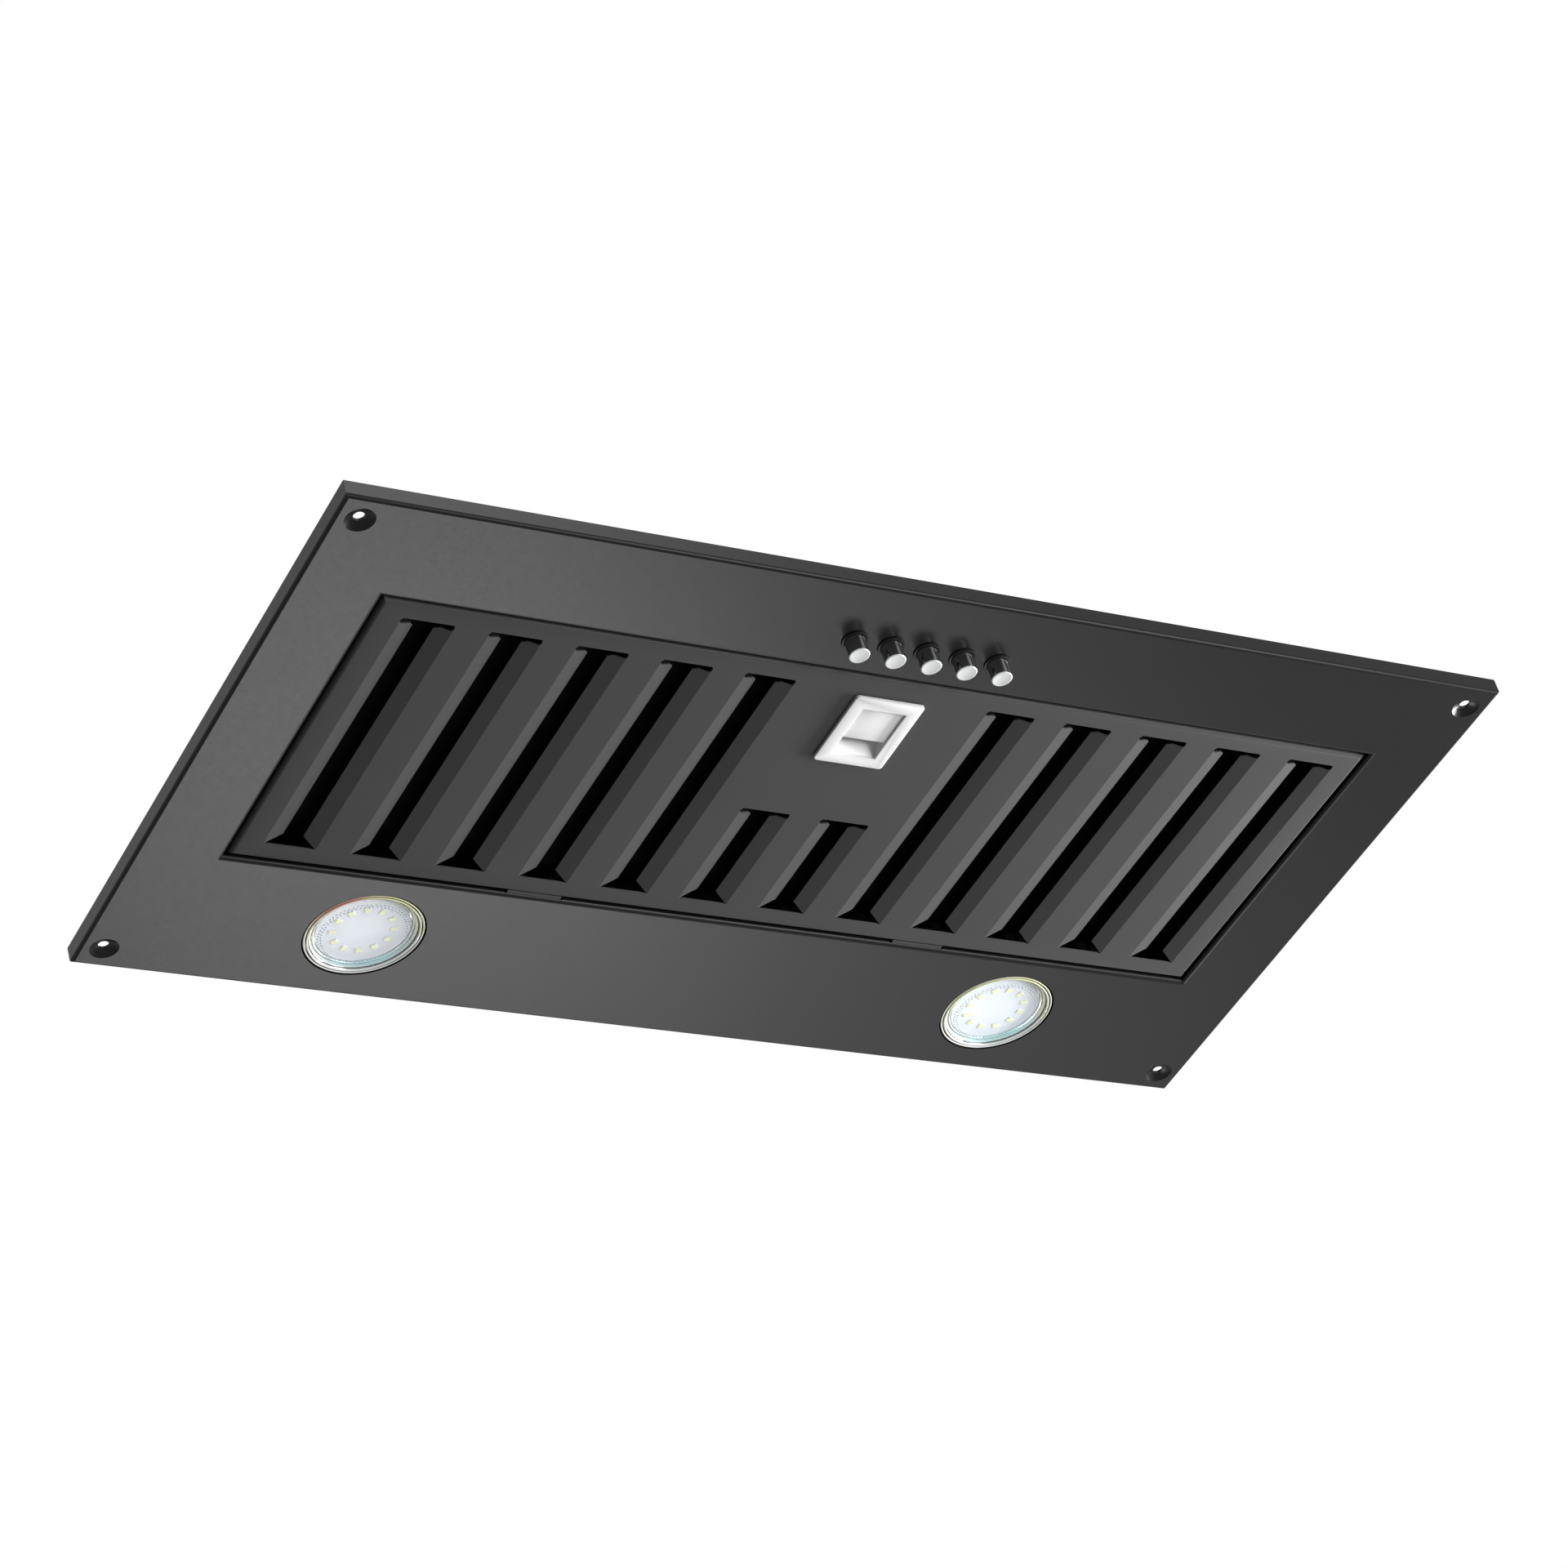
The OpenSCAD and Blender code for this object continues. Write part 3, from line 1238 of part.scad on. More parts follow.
module motor_grommets() color("#141414") from_face() translate([0, wheel_y, wheel_z])
    for (angle = motor_arm_angles) rotate([angle, 0, 0]) translate([bracket_x, motor_arm_r, 0])
        difference() {
        union() {
            rotate([0, 90, 0]) cylinder(r = grommet_r, h = grommet_t);
            translate([-plate_t, 0, 0]) rotate([0, 90, 0]) cylinder(r = grommet_neck_r, h = plate_t);
            translate([-plate_t - grommet_t, 0, 0]) rotate([0, 90, 0])
                cylinder(r = grommet_r, h = grommet_t);
        }
        translate([-over - plate_t - grommet_t, 0, 0]) rotate([0, 90, 0])
            cylinder(r = motor_screw_r, h = 4 * grommet_t + plate_t);
    }

module motor_screws() color("#b0b0b0") from_face() translate([0, wheel_y, wheel_z])
    for (angle = motor_arm_angles) rotate([angle, 0, 0])
        translate([bracket_x - plate_t - grommet_t, motor_arm_r, 0])
        rotate([0, -90, 0]) sheet_screw(shank_l + over);

// Electrical box on the top cover, with its terminal strip, lid and cable gland
module box_place(z) from_face() translate([box_x, box_y, collar_z + z]) children();

module terminal_box() color("#2c2d30") box_place(0) difference() {
    linear_extrude(height = box_h) rounded_rect(box_w, box_d, box_r);
    translate([0, 0, box_t]) linear_extrude(height = box_h)
        rounded_rect(box_w - 2 * box_t, box_d - 2 * box_t, box_r - box_t);
    translate([-box_w, gland_y, gland_z]) rotate([0, 90, 0]) cylinder(r = gland_r + box_t, h = box_w);
}

module terminal_box_lid() color("#2c2d30") box_place(box_h) {
    linear_extrude(height = lid_t) rounded_rect(box_w, box_d, box_r);
    translate([0, 0, -lid_lap]) linear_extrude(height = lid_lap) difference() {
        rounded_rect(box_w - 2 * box_t - 2 * small_gap, box_d - 2 * box_t - 2 * small_gap, box_r - box_t);
        rounded_rect(box_w - 5 * box_t, box_d - 5 * box_t, box_r - box_t);
    }
}

module terminal_block() color("#e6e3d8") box_place(box_t) difference() {
    translate([box_w / 6 - strip_w / 2, -strip_d / 2, 0]) cube([strip_w, strip_d, strip_h]);
    for (i = [0 : strip_poles - 1], x = [-1, 1])
        translate([box_w / 6 + x * strip_w / 4, (i - (strip_poles - 1) / 2) * strip_d / strip_poles,
            strip_h / 2])
            cylinder(r = shank_r, h = strip_h);
}

module cable_gland() color("#17181a") box_place(gland_z) translate([-box_w / 2, gland_y, 0])
    rotate([0, -90, 0])
    difference() {
    union() {
        hex_prism(gland_nut_af, gland_flange_h);
        translate([0, 0, gland_flange_h]) cylinder(r = gland_nut_af / 2, h = gland_nut_h);
        translate([0, 0, -box_t - gland_in]) cylinder(r = gland_r + box_t - fit_gap, h = box_t + gland_in);
    }
    translate([0, 0, -box_t - gland_in - over])
        cylinder(r = gland_r, h = box_t + gland_in + gland_flange_h + gland_nut_h + 2 * over);
}

// Run capacitor, hung from the top cover by its stud and nut
module run_capacitor() color("#b9bcc0") from_face() translate([cap_x, cap_y, body_h]) {
    translate([0, 0, -cap_l]) cylinder(r = cap_r, h = cap_l);
    cylinder(r = cap_stud_r, h = cap_stud_l);
    translate([0, 0, cover_sheet]) difference() {
        hex_prism(cap_nut_af, cap_nut_h);
        cylinder(r = cap_stud_r + fit_gap, h = cap_nut_h + over);
    }
}

face_panel();
panel_studs();
flange_nuts();
plenum_shell();
top_cover();
top_cover_screws();
duct_collar();
collar_screws();
damper_rod();
damper_flap_front();
damper_flap_back();
filter_front_sheet();
filter_baffles();
filter_frame();
filter_hinge_tabs();
filter_rivets();
latch_bezel();
latch_slider();
latch_spring();
button_off();
button_speed_low();
button_speed_medium();
button_speed_high();
button_lamp();
stem_off();
stem_speed_low();
stem_speed_medium();
stem_speed_high();
stem_lamp();
switch_block();
switch_bracket();
button_ferrules();
switch_terminals();
lamp_cover_left();
lamp_cover_right();
lamp_cup_left();
lamp_cup_right();
lamp_board_left();
lamp_board_right();
lamp_base_left();
lamp_base_right();
lamp_socket_left();
lamp_socket_right();
lamp_brackets();
casing_left();
casing_right();
casing_screws();
impeller();
motor_rotor();
motor_stator();
motor_shaft();
motor_bearings();
motor_bracket();
motor_grommets();
motor_screws();
terminal_box();
terminal_box_lid();
terminal_block();
cable_gland();
run_capacitor();
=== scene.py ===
# %% [markdown]
# # A slim range hood, seen from below
# A hood like this hangs under a wall cupboard. The cook sees a black steel face panel with a slotted grease
# filter, a pale latch, five push buttons and two round lamps. The blower, the duct collar and the wiring
# sit above the panel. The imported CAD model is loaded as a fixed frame: it gives every part's place and its
# moving bodies. This lesson adds the finishes, and makes again the pieces that need more detail than the
# CAD has.

# %% Load the frame
import json
from math import cos, pi, radians, sin

import bmesh
import bpy
from mathutils import Matrix, Vector


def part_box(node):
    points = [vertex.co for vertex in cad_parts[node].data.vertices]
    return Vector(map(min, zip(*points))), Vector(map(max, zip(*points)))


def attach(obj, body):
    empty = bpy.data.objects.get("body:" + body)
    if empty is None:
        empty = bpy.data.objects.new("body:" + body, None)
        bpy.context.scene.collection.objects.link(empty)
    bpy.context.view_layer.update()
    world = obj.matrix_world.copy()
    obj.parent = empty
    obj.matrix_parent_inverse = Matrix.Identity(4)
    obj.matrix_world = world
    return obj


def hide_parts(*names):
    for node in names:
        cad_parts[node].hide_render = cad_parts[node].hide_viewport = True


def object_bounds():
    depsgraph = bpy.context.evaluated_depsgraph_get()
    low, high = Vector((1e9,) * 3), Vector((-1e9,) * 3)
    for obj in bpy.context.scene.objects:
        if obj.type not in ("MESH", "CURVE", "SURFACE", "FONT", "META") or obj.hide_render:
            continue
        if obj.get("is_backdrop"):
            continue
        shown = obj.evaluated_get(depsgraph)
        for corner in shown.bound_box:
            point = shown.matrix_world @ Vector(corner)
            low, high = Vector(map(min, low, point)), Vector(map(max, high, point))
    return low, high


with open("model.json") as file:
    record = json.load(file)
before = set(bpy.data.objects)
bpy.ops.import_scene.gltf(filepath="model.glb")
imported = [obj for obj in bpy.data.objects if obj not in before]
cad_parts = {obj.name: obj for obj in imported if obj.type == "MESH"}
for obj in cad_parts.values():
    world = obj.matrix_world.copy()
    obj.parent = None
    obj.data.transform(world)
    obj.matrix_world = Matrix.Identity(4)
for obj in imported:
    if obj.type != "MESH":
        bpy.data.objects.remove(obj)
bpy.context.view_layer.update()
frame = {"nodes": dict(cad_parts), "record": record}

nodes = frame["nodes"]
body_of_node = {n: body for body, members in frame["record"]["behaviour"]["bodies"].items() for n in members}
slot_of_node = {part["node"]: part["material_slot"] for part in frame["record"]["subparts"]}

# %% [markdown]
# ## The camera
# The photograph looks up at the hood from its front left. Its camera was worked out beforehand from the
# panel's four corners, its screw holes and the filter's corners. A camera in Blender looks along its own
# -Z, so its three turned axes are the picture's right, its up and the direction back to the camera.

# %% Camera at the photograph's angle
eye = Vector((-0.96610, -1.22209, -1.15595))
picture_right = Vector((0.8600683, -0.4532488, -0.2341966))
picture_down = Vector((0.1263298, 0.6339561, -0.7629813))
look_ahead = Vector((0.4942907, 0.6266300, 0.6025043))
lens = bpy.data.cameras.new("photo_view")
lens.sensor_width = 36
lens.lens = 111.552
camera = bpy.data.objects.new("photo_view", lens)
camera_turn = Matrix((picture_right, -picture_down, -look_ahead)).transposed().to_4x4()
camera.matrix_world = Matrix.Translation(eye) @ camera_turn
bpy.context.scene.collection.objects.link(camera)
bpy.context.scene.camera = camera
bpy.context.scene.view_settings.view_transform = "Standard"
print("camera", tuple(eye), "lens", lens.lens)

# %% [markdown]
# ## Colours and nodes
# A screen colour such as #2b2b2c is stored with a curve that suits the eye, while light adds up in linear
# numbers, so each hex colour goes through one function. Another small function adds a node to any tree,
# with its settings and its links, so that each finish further down stays short enough to read.

# %% Two small helpers
def linear(code):
    """An sRGB hex colour as the linear numbers that a shader takes."""
    parts = [int(code[i:i + 2], 16) / 255 for i in (1, 3, 5)]
    return [c / 12.92 if c <= 0.04045 else ((c + 0.055) / 1.055) ** 2.4 for c in parts] + [1.0]


def put(tree, kind, inputs=None, **settings):
    """Adds a node: settings are its own options, inputs its sockets by name or number, linked or set."""
    node = tree.nodes.new(kind)
    for option, value in settings.items():
        setattr(node, option, value)
    for socket, value in (inputs or {}).items():
        if isinstance(value, bpy.types.NodeSocket):
            tree.links.new(value, node.inputs[socket])
        else:
            node.inputs[socket].default_value = value
    return node


print("black powder coat is", [round(c, 4) for c in linear("#1e1e1f")[:3]], "in linear light")

# %% [markdown]
# ## Floor, background and light
# The photograph is a studio picture on white. The hood hangs high over a plain pale floor. The background
# is the world's colour, white only for rays that the camera sends out or that metal and glass pass on, so
# that it doesn't light the object. The floor glows for the same rays, so it looks pale far from the lamps
# too, and it still takes the hood's shadow. Soft area lights light the object. A box behind and below is
# mirrored by the left end of the panel, and a fainter one beside it lets that sheen fade to the right. A
# low box on the right grazes the filter and picks out its slots. One at the front right lights the bends
# and the latch's ramp, and one overhead and in front lights the front edge and the body.

# %% Rays that see the background
def seen_by_eye(tree):
    """1 for rays that the camera sends out or that metal and glass pass on, and 0 for the others."""
    ray = put(tree, "ShaderNodeLightPath").outputs
    seen = put(tree, "ShaderNodeMath", {0: ray["Is Camera Ray"], 1: ray["Is Glossy Ray"]},
               operation="MAXIMUM")
    seen = put(tree, "ShaderNodeMath", {0: seen.outputs[0], 1: ray["Is Transmission Ray"]},
               operation="MAXIMUM")
    return seen.outputs[0]


print("background white is", linear("#ffffff")[:3])

# %% Pale floor
FLOOR_REACH, FLOOR_HEIGHT, FLOOR_GLOW, FLOOR_COLOUR = 20, -2.3, 0.72, "#e6e6e4"
sheet = bmesh.new()
bmesh.ops.create_grid(sheet, x_segments=1, y_segments=1, size=FLOOR_REACH)
floor_mesh = bpy.data.meshes.new("floor")
sheet.to_mesh(floor_mesh)
sheet.free()
floor = bpy.data.objects.new("floor", floor_mesh)
floor.location.z = FLOOR_HEIGHT
bpy.context.scene.collection.objects.link(floor)
floor_paint = bpy.data.materials.new("matte_floor_paint")
floor_paint.use_nodes = True
floor_tree = floor_paint.node_tree
floor_shader = floor_tree.nodes["Principled BSDF"]
floor_shader.inputs["Base Color"].default_value = linear(FLOOR_COLOUR)
floor_shader.inputs["Emission Color"].default_value = linear(FLOOR_COLOUR)
floor_shader.inputs["Roughness"].default_value = 0.9
glow = put(floor_tree, "ShaderNodeMath", {0: seen_by_eye(floor_tree), 1: FLOOR_GLOW}, operation="MULTIPLY")
floor_tree.links.new(glow.outputs[0], floor_shader.inputs["Emission Strength"])
floor_mesh.materials.append(floor_paint)
floor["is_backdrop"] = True
print("floor at", floor.location.z)

# %% Background
LIGHT_OF_WORLD, WHITE_OF_WORLD = 0.1, 1.0
world = bpy.data.worlds.new("studio")
world.use_nodes = True
bpy.context.scene.world = world
sky = world.node_tree
sky.nodes.clear()
dim = put(sky, "ShaderNodeBackground", {"Color": linear("#ffffff"), "Strength": LIGHT_OF_WORLD})
white = put(sky, "ShaderNodeBackground", {"Color": linear("#ffffff"), "Strength": WHITE_OF_WORLD})
either = put(sky, "ShaderNodeMixShader", {0: seen_by_eye(sky), 1: dim.outputs[0], 2: white.outputs[0]})
put(sky, "ShaderNodeOutputWorld", {"Surface": either.outputs[0]})
print("the world lights with", LIGHT_OF_WORLD, "and looks like", WHITE_OF_WORLD)

# %% Soft boxes
def soft_light(name, place, aim, width, height, power):
    """A soft box: an area light at place that looks at aim, sizes in metres and power in watts."""
    lamp = bpy.data.lights.new(name, "AREA")
    lamp.shape = "RECTANGLE"
    lamp.size, lamp.size_y, lamp.energy = width, height, power
    box = bpy.data.objects.new(name, lamp)
    box.location = place
    box.rotation_mode = "QUATERNION"
    box.rotation_quaternion = (Vector(aim) - Vector(place)).to_track_quat("-Z", "Y")
    bpy.context.scene.collection.objects.link(box)


soft_light("sheen_box", (0.55, 1.20, -1.28), (-0.1, 0, 0), 0.56, 0.65, 10)
soft_light("faint_sheen_box", (1.10, 1.20, -1.28), (0, 0, 0), 0.32, 0.65, 1.2)
soft_light("low_right_box", (0.9, -0.12, -0.16), (0, 0, 0), 0.5, 0.2, 20)
soft_light("front_right_box", (0.65, -1.05, -0.45), (0, 0, 0), 0.6, 0.6, 12)
soft_light("overhead_box", (0.4, -1.5, 1.45), (-0.1, 0, 0.05), 0.9, 0.9, 14)

# %% [markdown]
# ## Finishes
# A finish starts from what the real one is and how its surface was made. Colour, roughness and bump come
# from nodes that read Object coordinates in metres, so a pattern's scale is one over its real size. Numbers
# that are the same all over, such as the refraction index, are set on the shader itself.

# %% Start of every finish
def begin_finish(name, **numbers):
    """A new material, its tree, its main shader and the coordinates that its patterns read."""
    finish = bpy.data.materials.new(name)
    finish.use_nodes = True
    tree = finish.node_tree
    shader = tree.nodes["Principled BSDF"]
    for socket, value in numbers.items():
        shader.inputs[socket.replace("_", " ")].default_value = value
    place = put(tree, "ShaderNodeTexCoord").outputs["Object"]
    return finish, tree, shader, place


def dress(tree, shader, tone_by, dark, light, rough_by, smooth, rough, bump_by, depth, strength=0.5):
    """Links a finish: two colours mixed by a pattern, roughness between two values, and a bump in metres."""
    tone = put(tree, "ShaderNodeMix", {0: tone_by, 6: linear(dark), 7: linear(light)}, data_type="RGBA")
    polish = put(tree, "ShaderNodeMapRange", {"Value": rough_by, "To Min": smooth, "To Max": rough})
    relief = put(tree, "ShaderNodeBump", {"Height": bump_by, "Distance": depth, "Strength": strength})
    tree.links.new(tone.outputs[2], shader.inputs["Base Color"])
    tree.links.new(polish.outputs[0], shader.inputs["Roughness"])
    tree.links.new(relief.outputs[0], shader.inputs["Normal"])


finishes = {}
MM = 0.001
print("a pattern 2 mm apart has scale", 1 / (2 * MM))

# %% [markdown]
# ### Powder coat
# The panel, the filter and its baffles are sheet steel with a powder coat. Powder melts into a skin with a
# very fine orange peel, about 1.6 mm from crest to crest and some hundredths deep, which breaks up the edge
# of every reflection. The panel's coat is satin black. The filter's is matte and a little lighter, so it
# mirrors the boxes behind it less and shows the light from the right. Its front bend is rubbed smoother,
# because that is where the filter is held. The baffles' coat is thin, matte and black.

# %% Black powder coats
def powder_coat(slot, name, dark, light, smooth, rough, gloss):
    """Black powder coat on sheet steel; the peel's crests are 1.6 mm apart, gloss is the specular level."""
    finish, tree, shader, place = begin_finish(name, IOR=1.5)
    shader.inputs["Specular IOR Level"].default_value = gloss
    cloud = put(tree, "ShaderNodeTexNoise", {"Vector": place, "Scale": 1 / (70 * MM), "Detail": 2.0})
    peel = put(tree, "ShaderNodeTexNoise", {"Vector": place, "Scale": 1 / (1.6 * MM), "Detail": 2.0})
    dress(tree, shader, cloud.outputs[0], dark, light, peel.outputs[0], smooth, rough,
          peel.outputs[0], 0.02 * MM, 0.4)
    finishes[slot] = finish


powder_coat("panel_paint", "satin_black_powder_coat", "#101011", "#161617", 0.26, 0.34, 0.15)
powder_coat("filter_paint", "matte_black_powder_coat", "#414142", "#474748", 0.6, 0.75, 0.1)
powder_coat("filter_baffle_steel", "thin_black_powder_coat", "#070708", "#0b0b0c", 0.6, 0.75, 0.1)
print("coats", sorted(finishes))

# %% Front bend of the filter, rubbed smoother
WORN_UP_TO, MATTE_FROM = 1.0 * MM, 2.0 * MM
coat = finishes["filter_paint"].node_tree
front_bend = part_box("filter_front_sheet")[0].y
place = put(coat, "ShaderNodeTexCoord").outputs["Object"]
depth = put(coat, "ShaderNodeSeparateXYZ", {0: place}).outputs[1]
handled = put(coat, "ShaderNodeMapRange", {"Value": depth, "From Min": front_bend + WORN_UP_TO,
                                           "From Max": front_bend + MATTE_FROM,
                                           "To Min": 0.5, "To Max": 1.0})
shader = coat.nodes["Principled BSDF"]
matte = shader.inputs["Roughness"].links[0].from_socket
worn = put(coat, "ShaderNodeMath", {0: matte, 1: handled.outputs[0]}, operation="MULTIPLY")
coat.links.new(worn.outputs[0], shader.inputs["Roughness"])
print("front bend at y", round(front_bend / MM, 2), "mm")

# %% [markdown]
# ### Sheet steel
# The body is galvanised: the zinc froze into flat crystals, 8 to 15 mm across, each of its own grey and
# gloss, which Voronoi cells show. Screws, nuts, brackets and the damper's rod are zinc-plated and
# passivated.

# %% Galvanised and zinc-plated steel
finish, tree, shader, place = begin_finish("hot_dip_galvanised_sheet", Metallic=1.0)
warp = put(tree, "ShaderNodeTexNoise", {"Vector": place, "Scale": 1 / (9 * MM), "Detail": 2.0})
bent = put(tree, "ShaderNodeMix", {0: 0.006, 4: place, 5: warp.outputs["Color"]}, data_type="VECTOR")
spangle = put(tree, "ShaderNodeTexVoronoi", {"Vector": bent.outputs[1], "Scale": 1 / (11 * MM)})
cell = put(tree, "ShaderNodeSeparateColor", {0: spangle.outputs["Color"]}).outputs
bloom = put(tree, "ShaderNodeTexNoise", {"Vector": place, "Scale": 1 / (1.2 * MM), "Detail": 3.0})
dress(tree, shader, cell[0], "#8b8f92", "#a2a6a9", cell[1], 0.36, 0.52, bloom.outputs[0], 0.01 * MM)
finishes["galvanised_sheet"] = finish

finish, tree, shader, place = begin_finish("bright_zinc_plate", Metallic=1.0)
haze = put(tree, "ShaderNodeTexNoise", {"Vector": place, "Scale": 1 / (6 * MM), "Detail": 3.0})
pits = put(tree, "ShaderNodeTexNoise", {"Vector": place, "Scale": 1 / (0.7 * MM), "Detail": 2.0})
dress(tree, shader, haze.outputs[0], "#a4a8ab", "#bdbfb8", haze.outputs[0], 0.24, 0.4,
      pits.outputs[0], 0.006 * MM)
finishes["zinc_steel"] = finish
print("steels", sorted(finishes))

# %% [markdown]
# ### Small metals
# The latch's spring is bright drawn wire, the contacts are tinned brass, the bearings sintered bronze,
# whose pores are small dark dots, and the capacitor's can is deep-drawn aluminium with rings from the
# drawing die. The motor shows varnished laminations and enamelled copper.

# %% Spring wire, brass, bronze, aluminium and copper
def small_metal(slot, name, dark, light, smooth, rough, grain_mm, depth_mm):
    """A bare metal with a cloudy tone and a fine grain of its own size."""
    finish, tree, shader, place = begin_finish(name, Metallic=1.0)
    haze = put(tree, "ShaderNodeTexNoise", {"Vector": place, "Scale": 1 / (5 * MM), "Detail": 3.0})
    grain = put(tree, "ShaderNodeTexNoise", {"Vector": place, "Scale": 1 / (grain_mm * MM), "Detail": 2.0})
    dress(tree, shader, haze.outputs[0], dark, light, grain.outputs[0], smooth, rough,
          grain.outputs[0], depth_mm * MM)
    finishes[slot] = finish


small_metal("spring_steel", "bright_drawn_spring_wire", "#a9abad", "#c3c4c6", 0.18, 0.3, 0.4, 0.004)
small_metal("brass_contact", "tinned_stamped_brass", "#b9975c", "#cdb27c", 0.22, 0.36, 0.8, 0.005)
small_metal("bearing_bronze", "sintered_bronze", "#8d6b3c", "#a9854f", 0.45, 0.62, 0.35, 0.02)
small_metal("motor_winding", "varnished_copper_and_laminations", "#6d4327", "#93603a", 0.3, 0.5, 0.6, 0.03)

finish, tree, shader, place = begin_finish("deep_drawn_aluminium", Metallic=1.0)
rings = put(tree, "ShaderNodeTexWave", {"Vector": place, "Scale": 1 / (7 * MM), "Distortion": 0.6},
            bands_direction="Z")
haze = put(tree, "ShaderNodeTexNoise", {"Vector": place, "Scale": 1 / (14 * MM), "Detail": 2.0})
dress(tree, shader, haze.outputs[0], "#b4b7ba", "#c9cbcd", rings.outputs[1], 0.26, 0.38,
      rings.outputs[1], 0.004 * MM)
finishes["aluminium_can"] = finish
print("metals", len(finishes))

# %% [markdown]
# ### Plastics, ceramic and rubber
# The latch is moulded ABS from a finely spark-eroded tool, pale grey and satin. The lamps' bases are white
# polyester with a smoother skin. Casing, switch block and electrical box are black polypropylene with glass
# fibre: matte, with a faint flow pattern. The button ferrules are satin black ABS. The lamp holders are
# glazed steatite, and the motor stands on moulded rubber.

# %% Moulded plastics and rubber
def moulded(slot, name, dark, light, smooth, rough, grain_mm, depth_mm, ior=1.5):
    """A moulded surface: a weak flow pattern in its tone and the tool's grain as bump."""
    finish, tree, shader, place = begin_finish(name, IOR=ior)
    flow = put(tree, "ShaderNodeTexNoise", {"Vector": place, "Scale": 1 / (18 * MM), "Detail": 2.0,
                                            "Distortion": 0.8})
    grain = put(tree, "ShaderNodeTexNoise", {"Vector": place, "Scale": 1 / (grain_mm * MM), "Detail": 2.0})
    dress(tree, shader, flow.outputs[0], dark, light, grain.outputs[0], smooth, rough,
          grain.outputs[0], depth_mm * MM)
    finishes[slot] = finish


moulded("pale_plastic", "spark_grained_abs_pale_grey", "#dcdcdc", "#e4e4e4", 0.3, 0.42, 0.6, 0.012, 1.53)
moulded("white_plastic", "moulded_polyester_white", "#dedcd6", "#e9e8e4", 0.3, 0.4, 0.8, 0.008, 1.55)
moulded("black_plastic", "glass_filled_polypropylene_black", "#141415", "#1d1d1f", 0.45, 0.62, 0.7, 0.03,
        1.49)
moulded("gloss_black_plastic", "satin_moulded_abs_black", "#0a0a0b", "#0e0e0f", 0.4, 0.5, 1.5, 0.004, 1.53)
bush_shader = finishes["gloss_black_plastic"].node_tree.nodes["Principled BSDF"]
bush_shader.inputs["Specular IOR Level"].default_value = 0.15
moulded("ceramic", "glazed_steatite", "#dfdbcf", "#ece9df", 0.12, 0.24, 2.2, 0.02, 1.56)
moulded("rubber", "moulded_rubber_black", "#121212", "#1a1a1a", 0.6, 0.78, 0.5, 0.02, 1.52)
moulded("lamp_board", "white_solder_mask", "#dfe5ee", "#e8edf4", 0.35, 0.45, 1.0, 0.006, 1.5)
print("finishes so far", len(finishes))

# %% [markdown]
# ### Chrome on plastic
# The push buttons are chrome-plated ABS. Their round sides are polished and mirror the dark panel with a
# few bright streaks. Their flat ends are satin chrome, made by plating over an etched face, so they look
# evenly bright.

# %% Chromed buttons
finish, tree, shader, place = begin_finish("bright_chrome_on_abs", Metallic=1.0)
haze = put(tree, "ShaderNodeTexNoise", {"Vector": place, "Scale": 1 / (3 * MM), "Detail": 2.0})
flow = put(tree, "ShaderNodeTexNoise", {"Vector": place, "Scale": 1 / (1.2 * MM), "Detail": 2.0})
dress(tree, shader, haze.outputs[0], "#c6c7c9", "#d6d7d8", flow.outputs[0], 0.06, 0.14,
      flow.outputs[0], 0.003 * MM)
finishes["chromed_button"] = finish

finish, tree, shader, place = begin_finish("satin_chrome_on_etched_abs", Metallic=1.0)
haze = put(tree, "ShaderNodeTexNoise", {"Vector": place, "Scale": 1 / (2 * MM), "Detail": 2.0})
etch = put(tree, "ShaderNodeTexNoise", {"Vector": place, "Scale": 1 / (0.25 * MM), "Detail": 2.0})
dress(tree, shader, haze.outputs[0], "#b6b7b8", "#bcbdbe", etch.outputs[0], 0.6, 0.75,
      etch.outputs[0], 0.006 * MM)
satin_chrome = finish
print("chrome", finishes["chromed_button"].name, satin_chrome.name)

# %% [markdown]
# ### Pressed glass
# The lamps are small reflector lamps: a cup of pressed glass with a stepped rim, and a clear cover in front
# of the board with its diodes. The glass carries a thin interference coating, which tints it warm on one
# side and blue-green on the other.

# %% Lamp glass
finish, tree, shader, place = begin_finish("coated_pressed_glass", IOR=1.5, Transmission_Weight=0.85)
ripple = put(tree, "ShaderNodeTexNoise", {"Vector": place, "Scale": 1 / (2.5 * MM), "Detail": 2.0})
tint = put(tree, "ShaderNodeTexNoise", {"Vector": place, "Scale": 1 / (20 * MM), "Detail": 1.0})
dress(tree, shader, tint.outputs[0], "#cfe3e6", "#e9e4cf", ripple.outputs[0], 0.04, 0.14,
      ripple.outputs[0], 0.01 * MM)
finishes["lamp_glass"] = finish
print("all slots have a finish:", set(slot_of_node.values()) <= set(finishes))

# %% [markdown]
# ## Dress the CAD nodes
# Most CAD nodes have the right shape already, such as the folded panel, the filter and the shell. They keep
# their meshes and get the finish of their slot. The filter's hinge tabs are coated together with the
# filter.

# %% Finishes on the CAD nodes
for name, node in nodes.items():
    node.data.materials.clear()
    node.data.materials.append(finishes[slot_of_node[name]])
nodes["filter_hinge_tabs"].data.materials[0] = finishes["filter_paint"]
print("dressed", len(nodes), "nodes")

# %% [markdown]
# ### A flag for the low light
# A photographer holds a black card, called a flag, where a lamp would burn out a shiny part. The low box on
# the right is meant for the slots, and would turn the bare zinc beside it white. Light linking does what
# the card does: the galvanised sheets are left out of that one light.

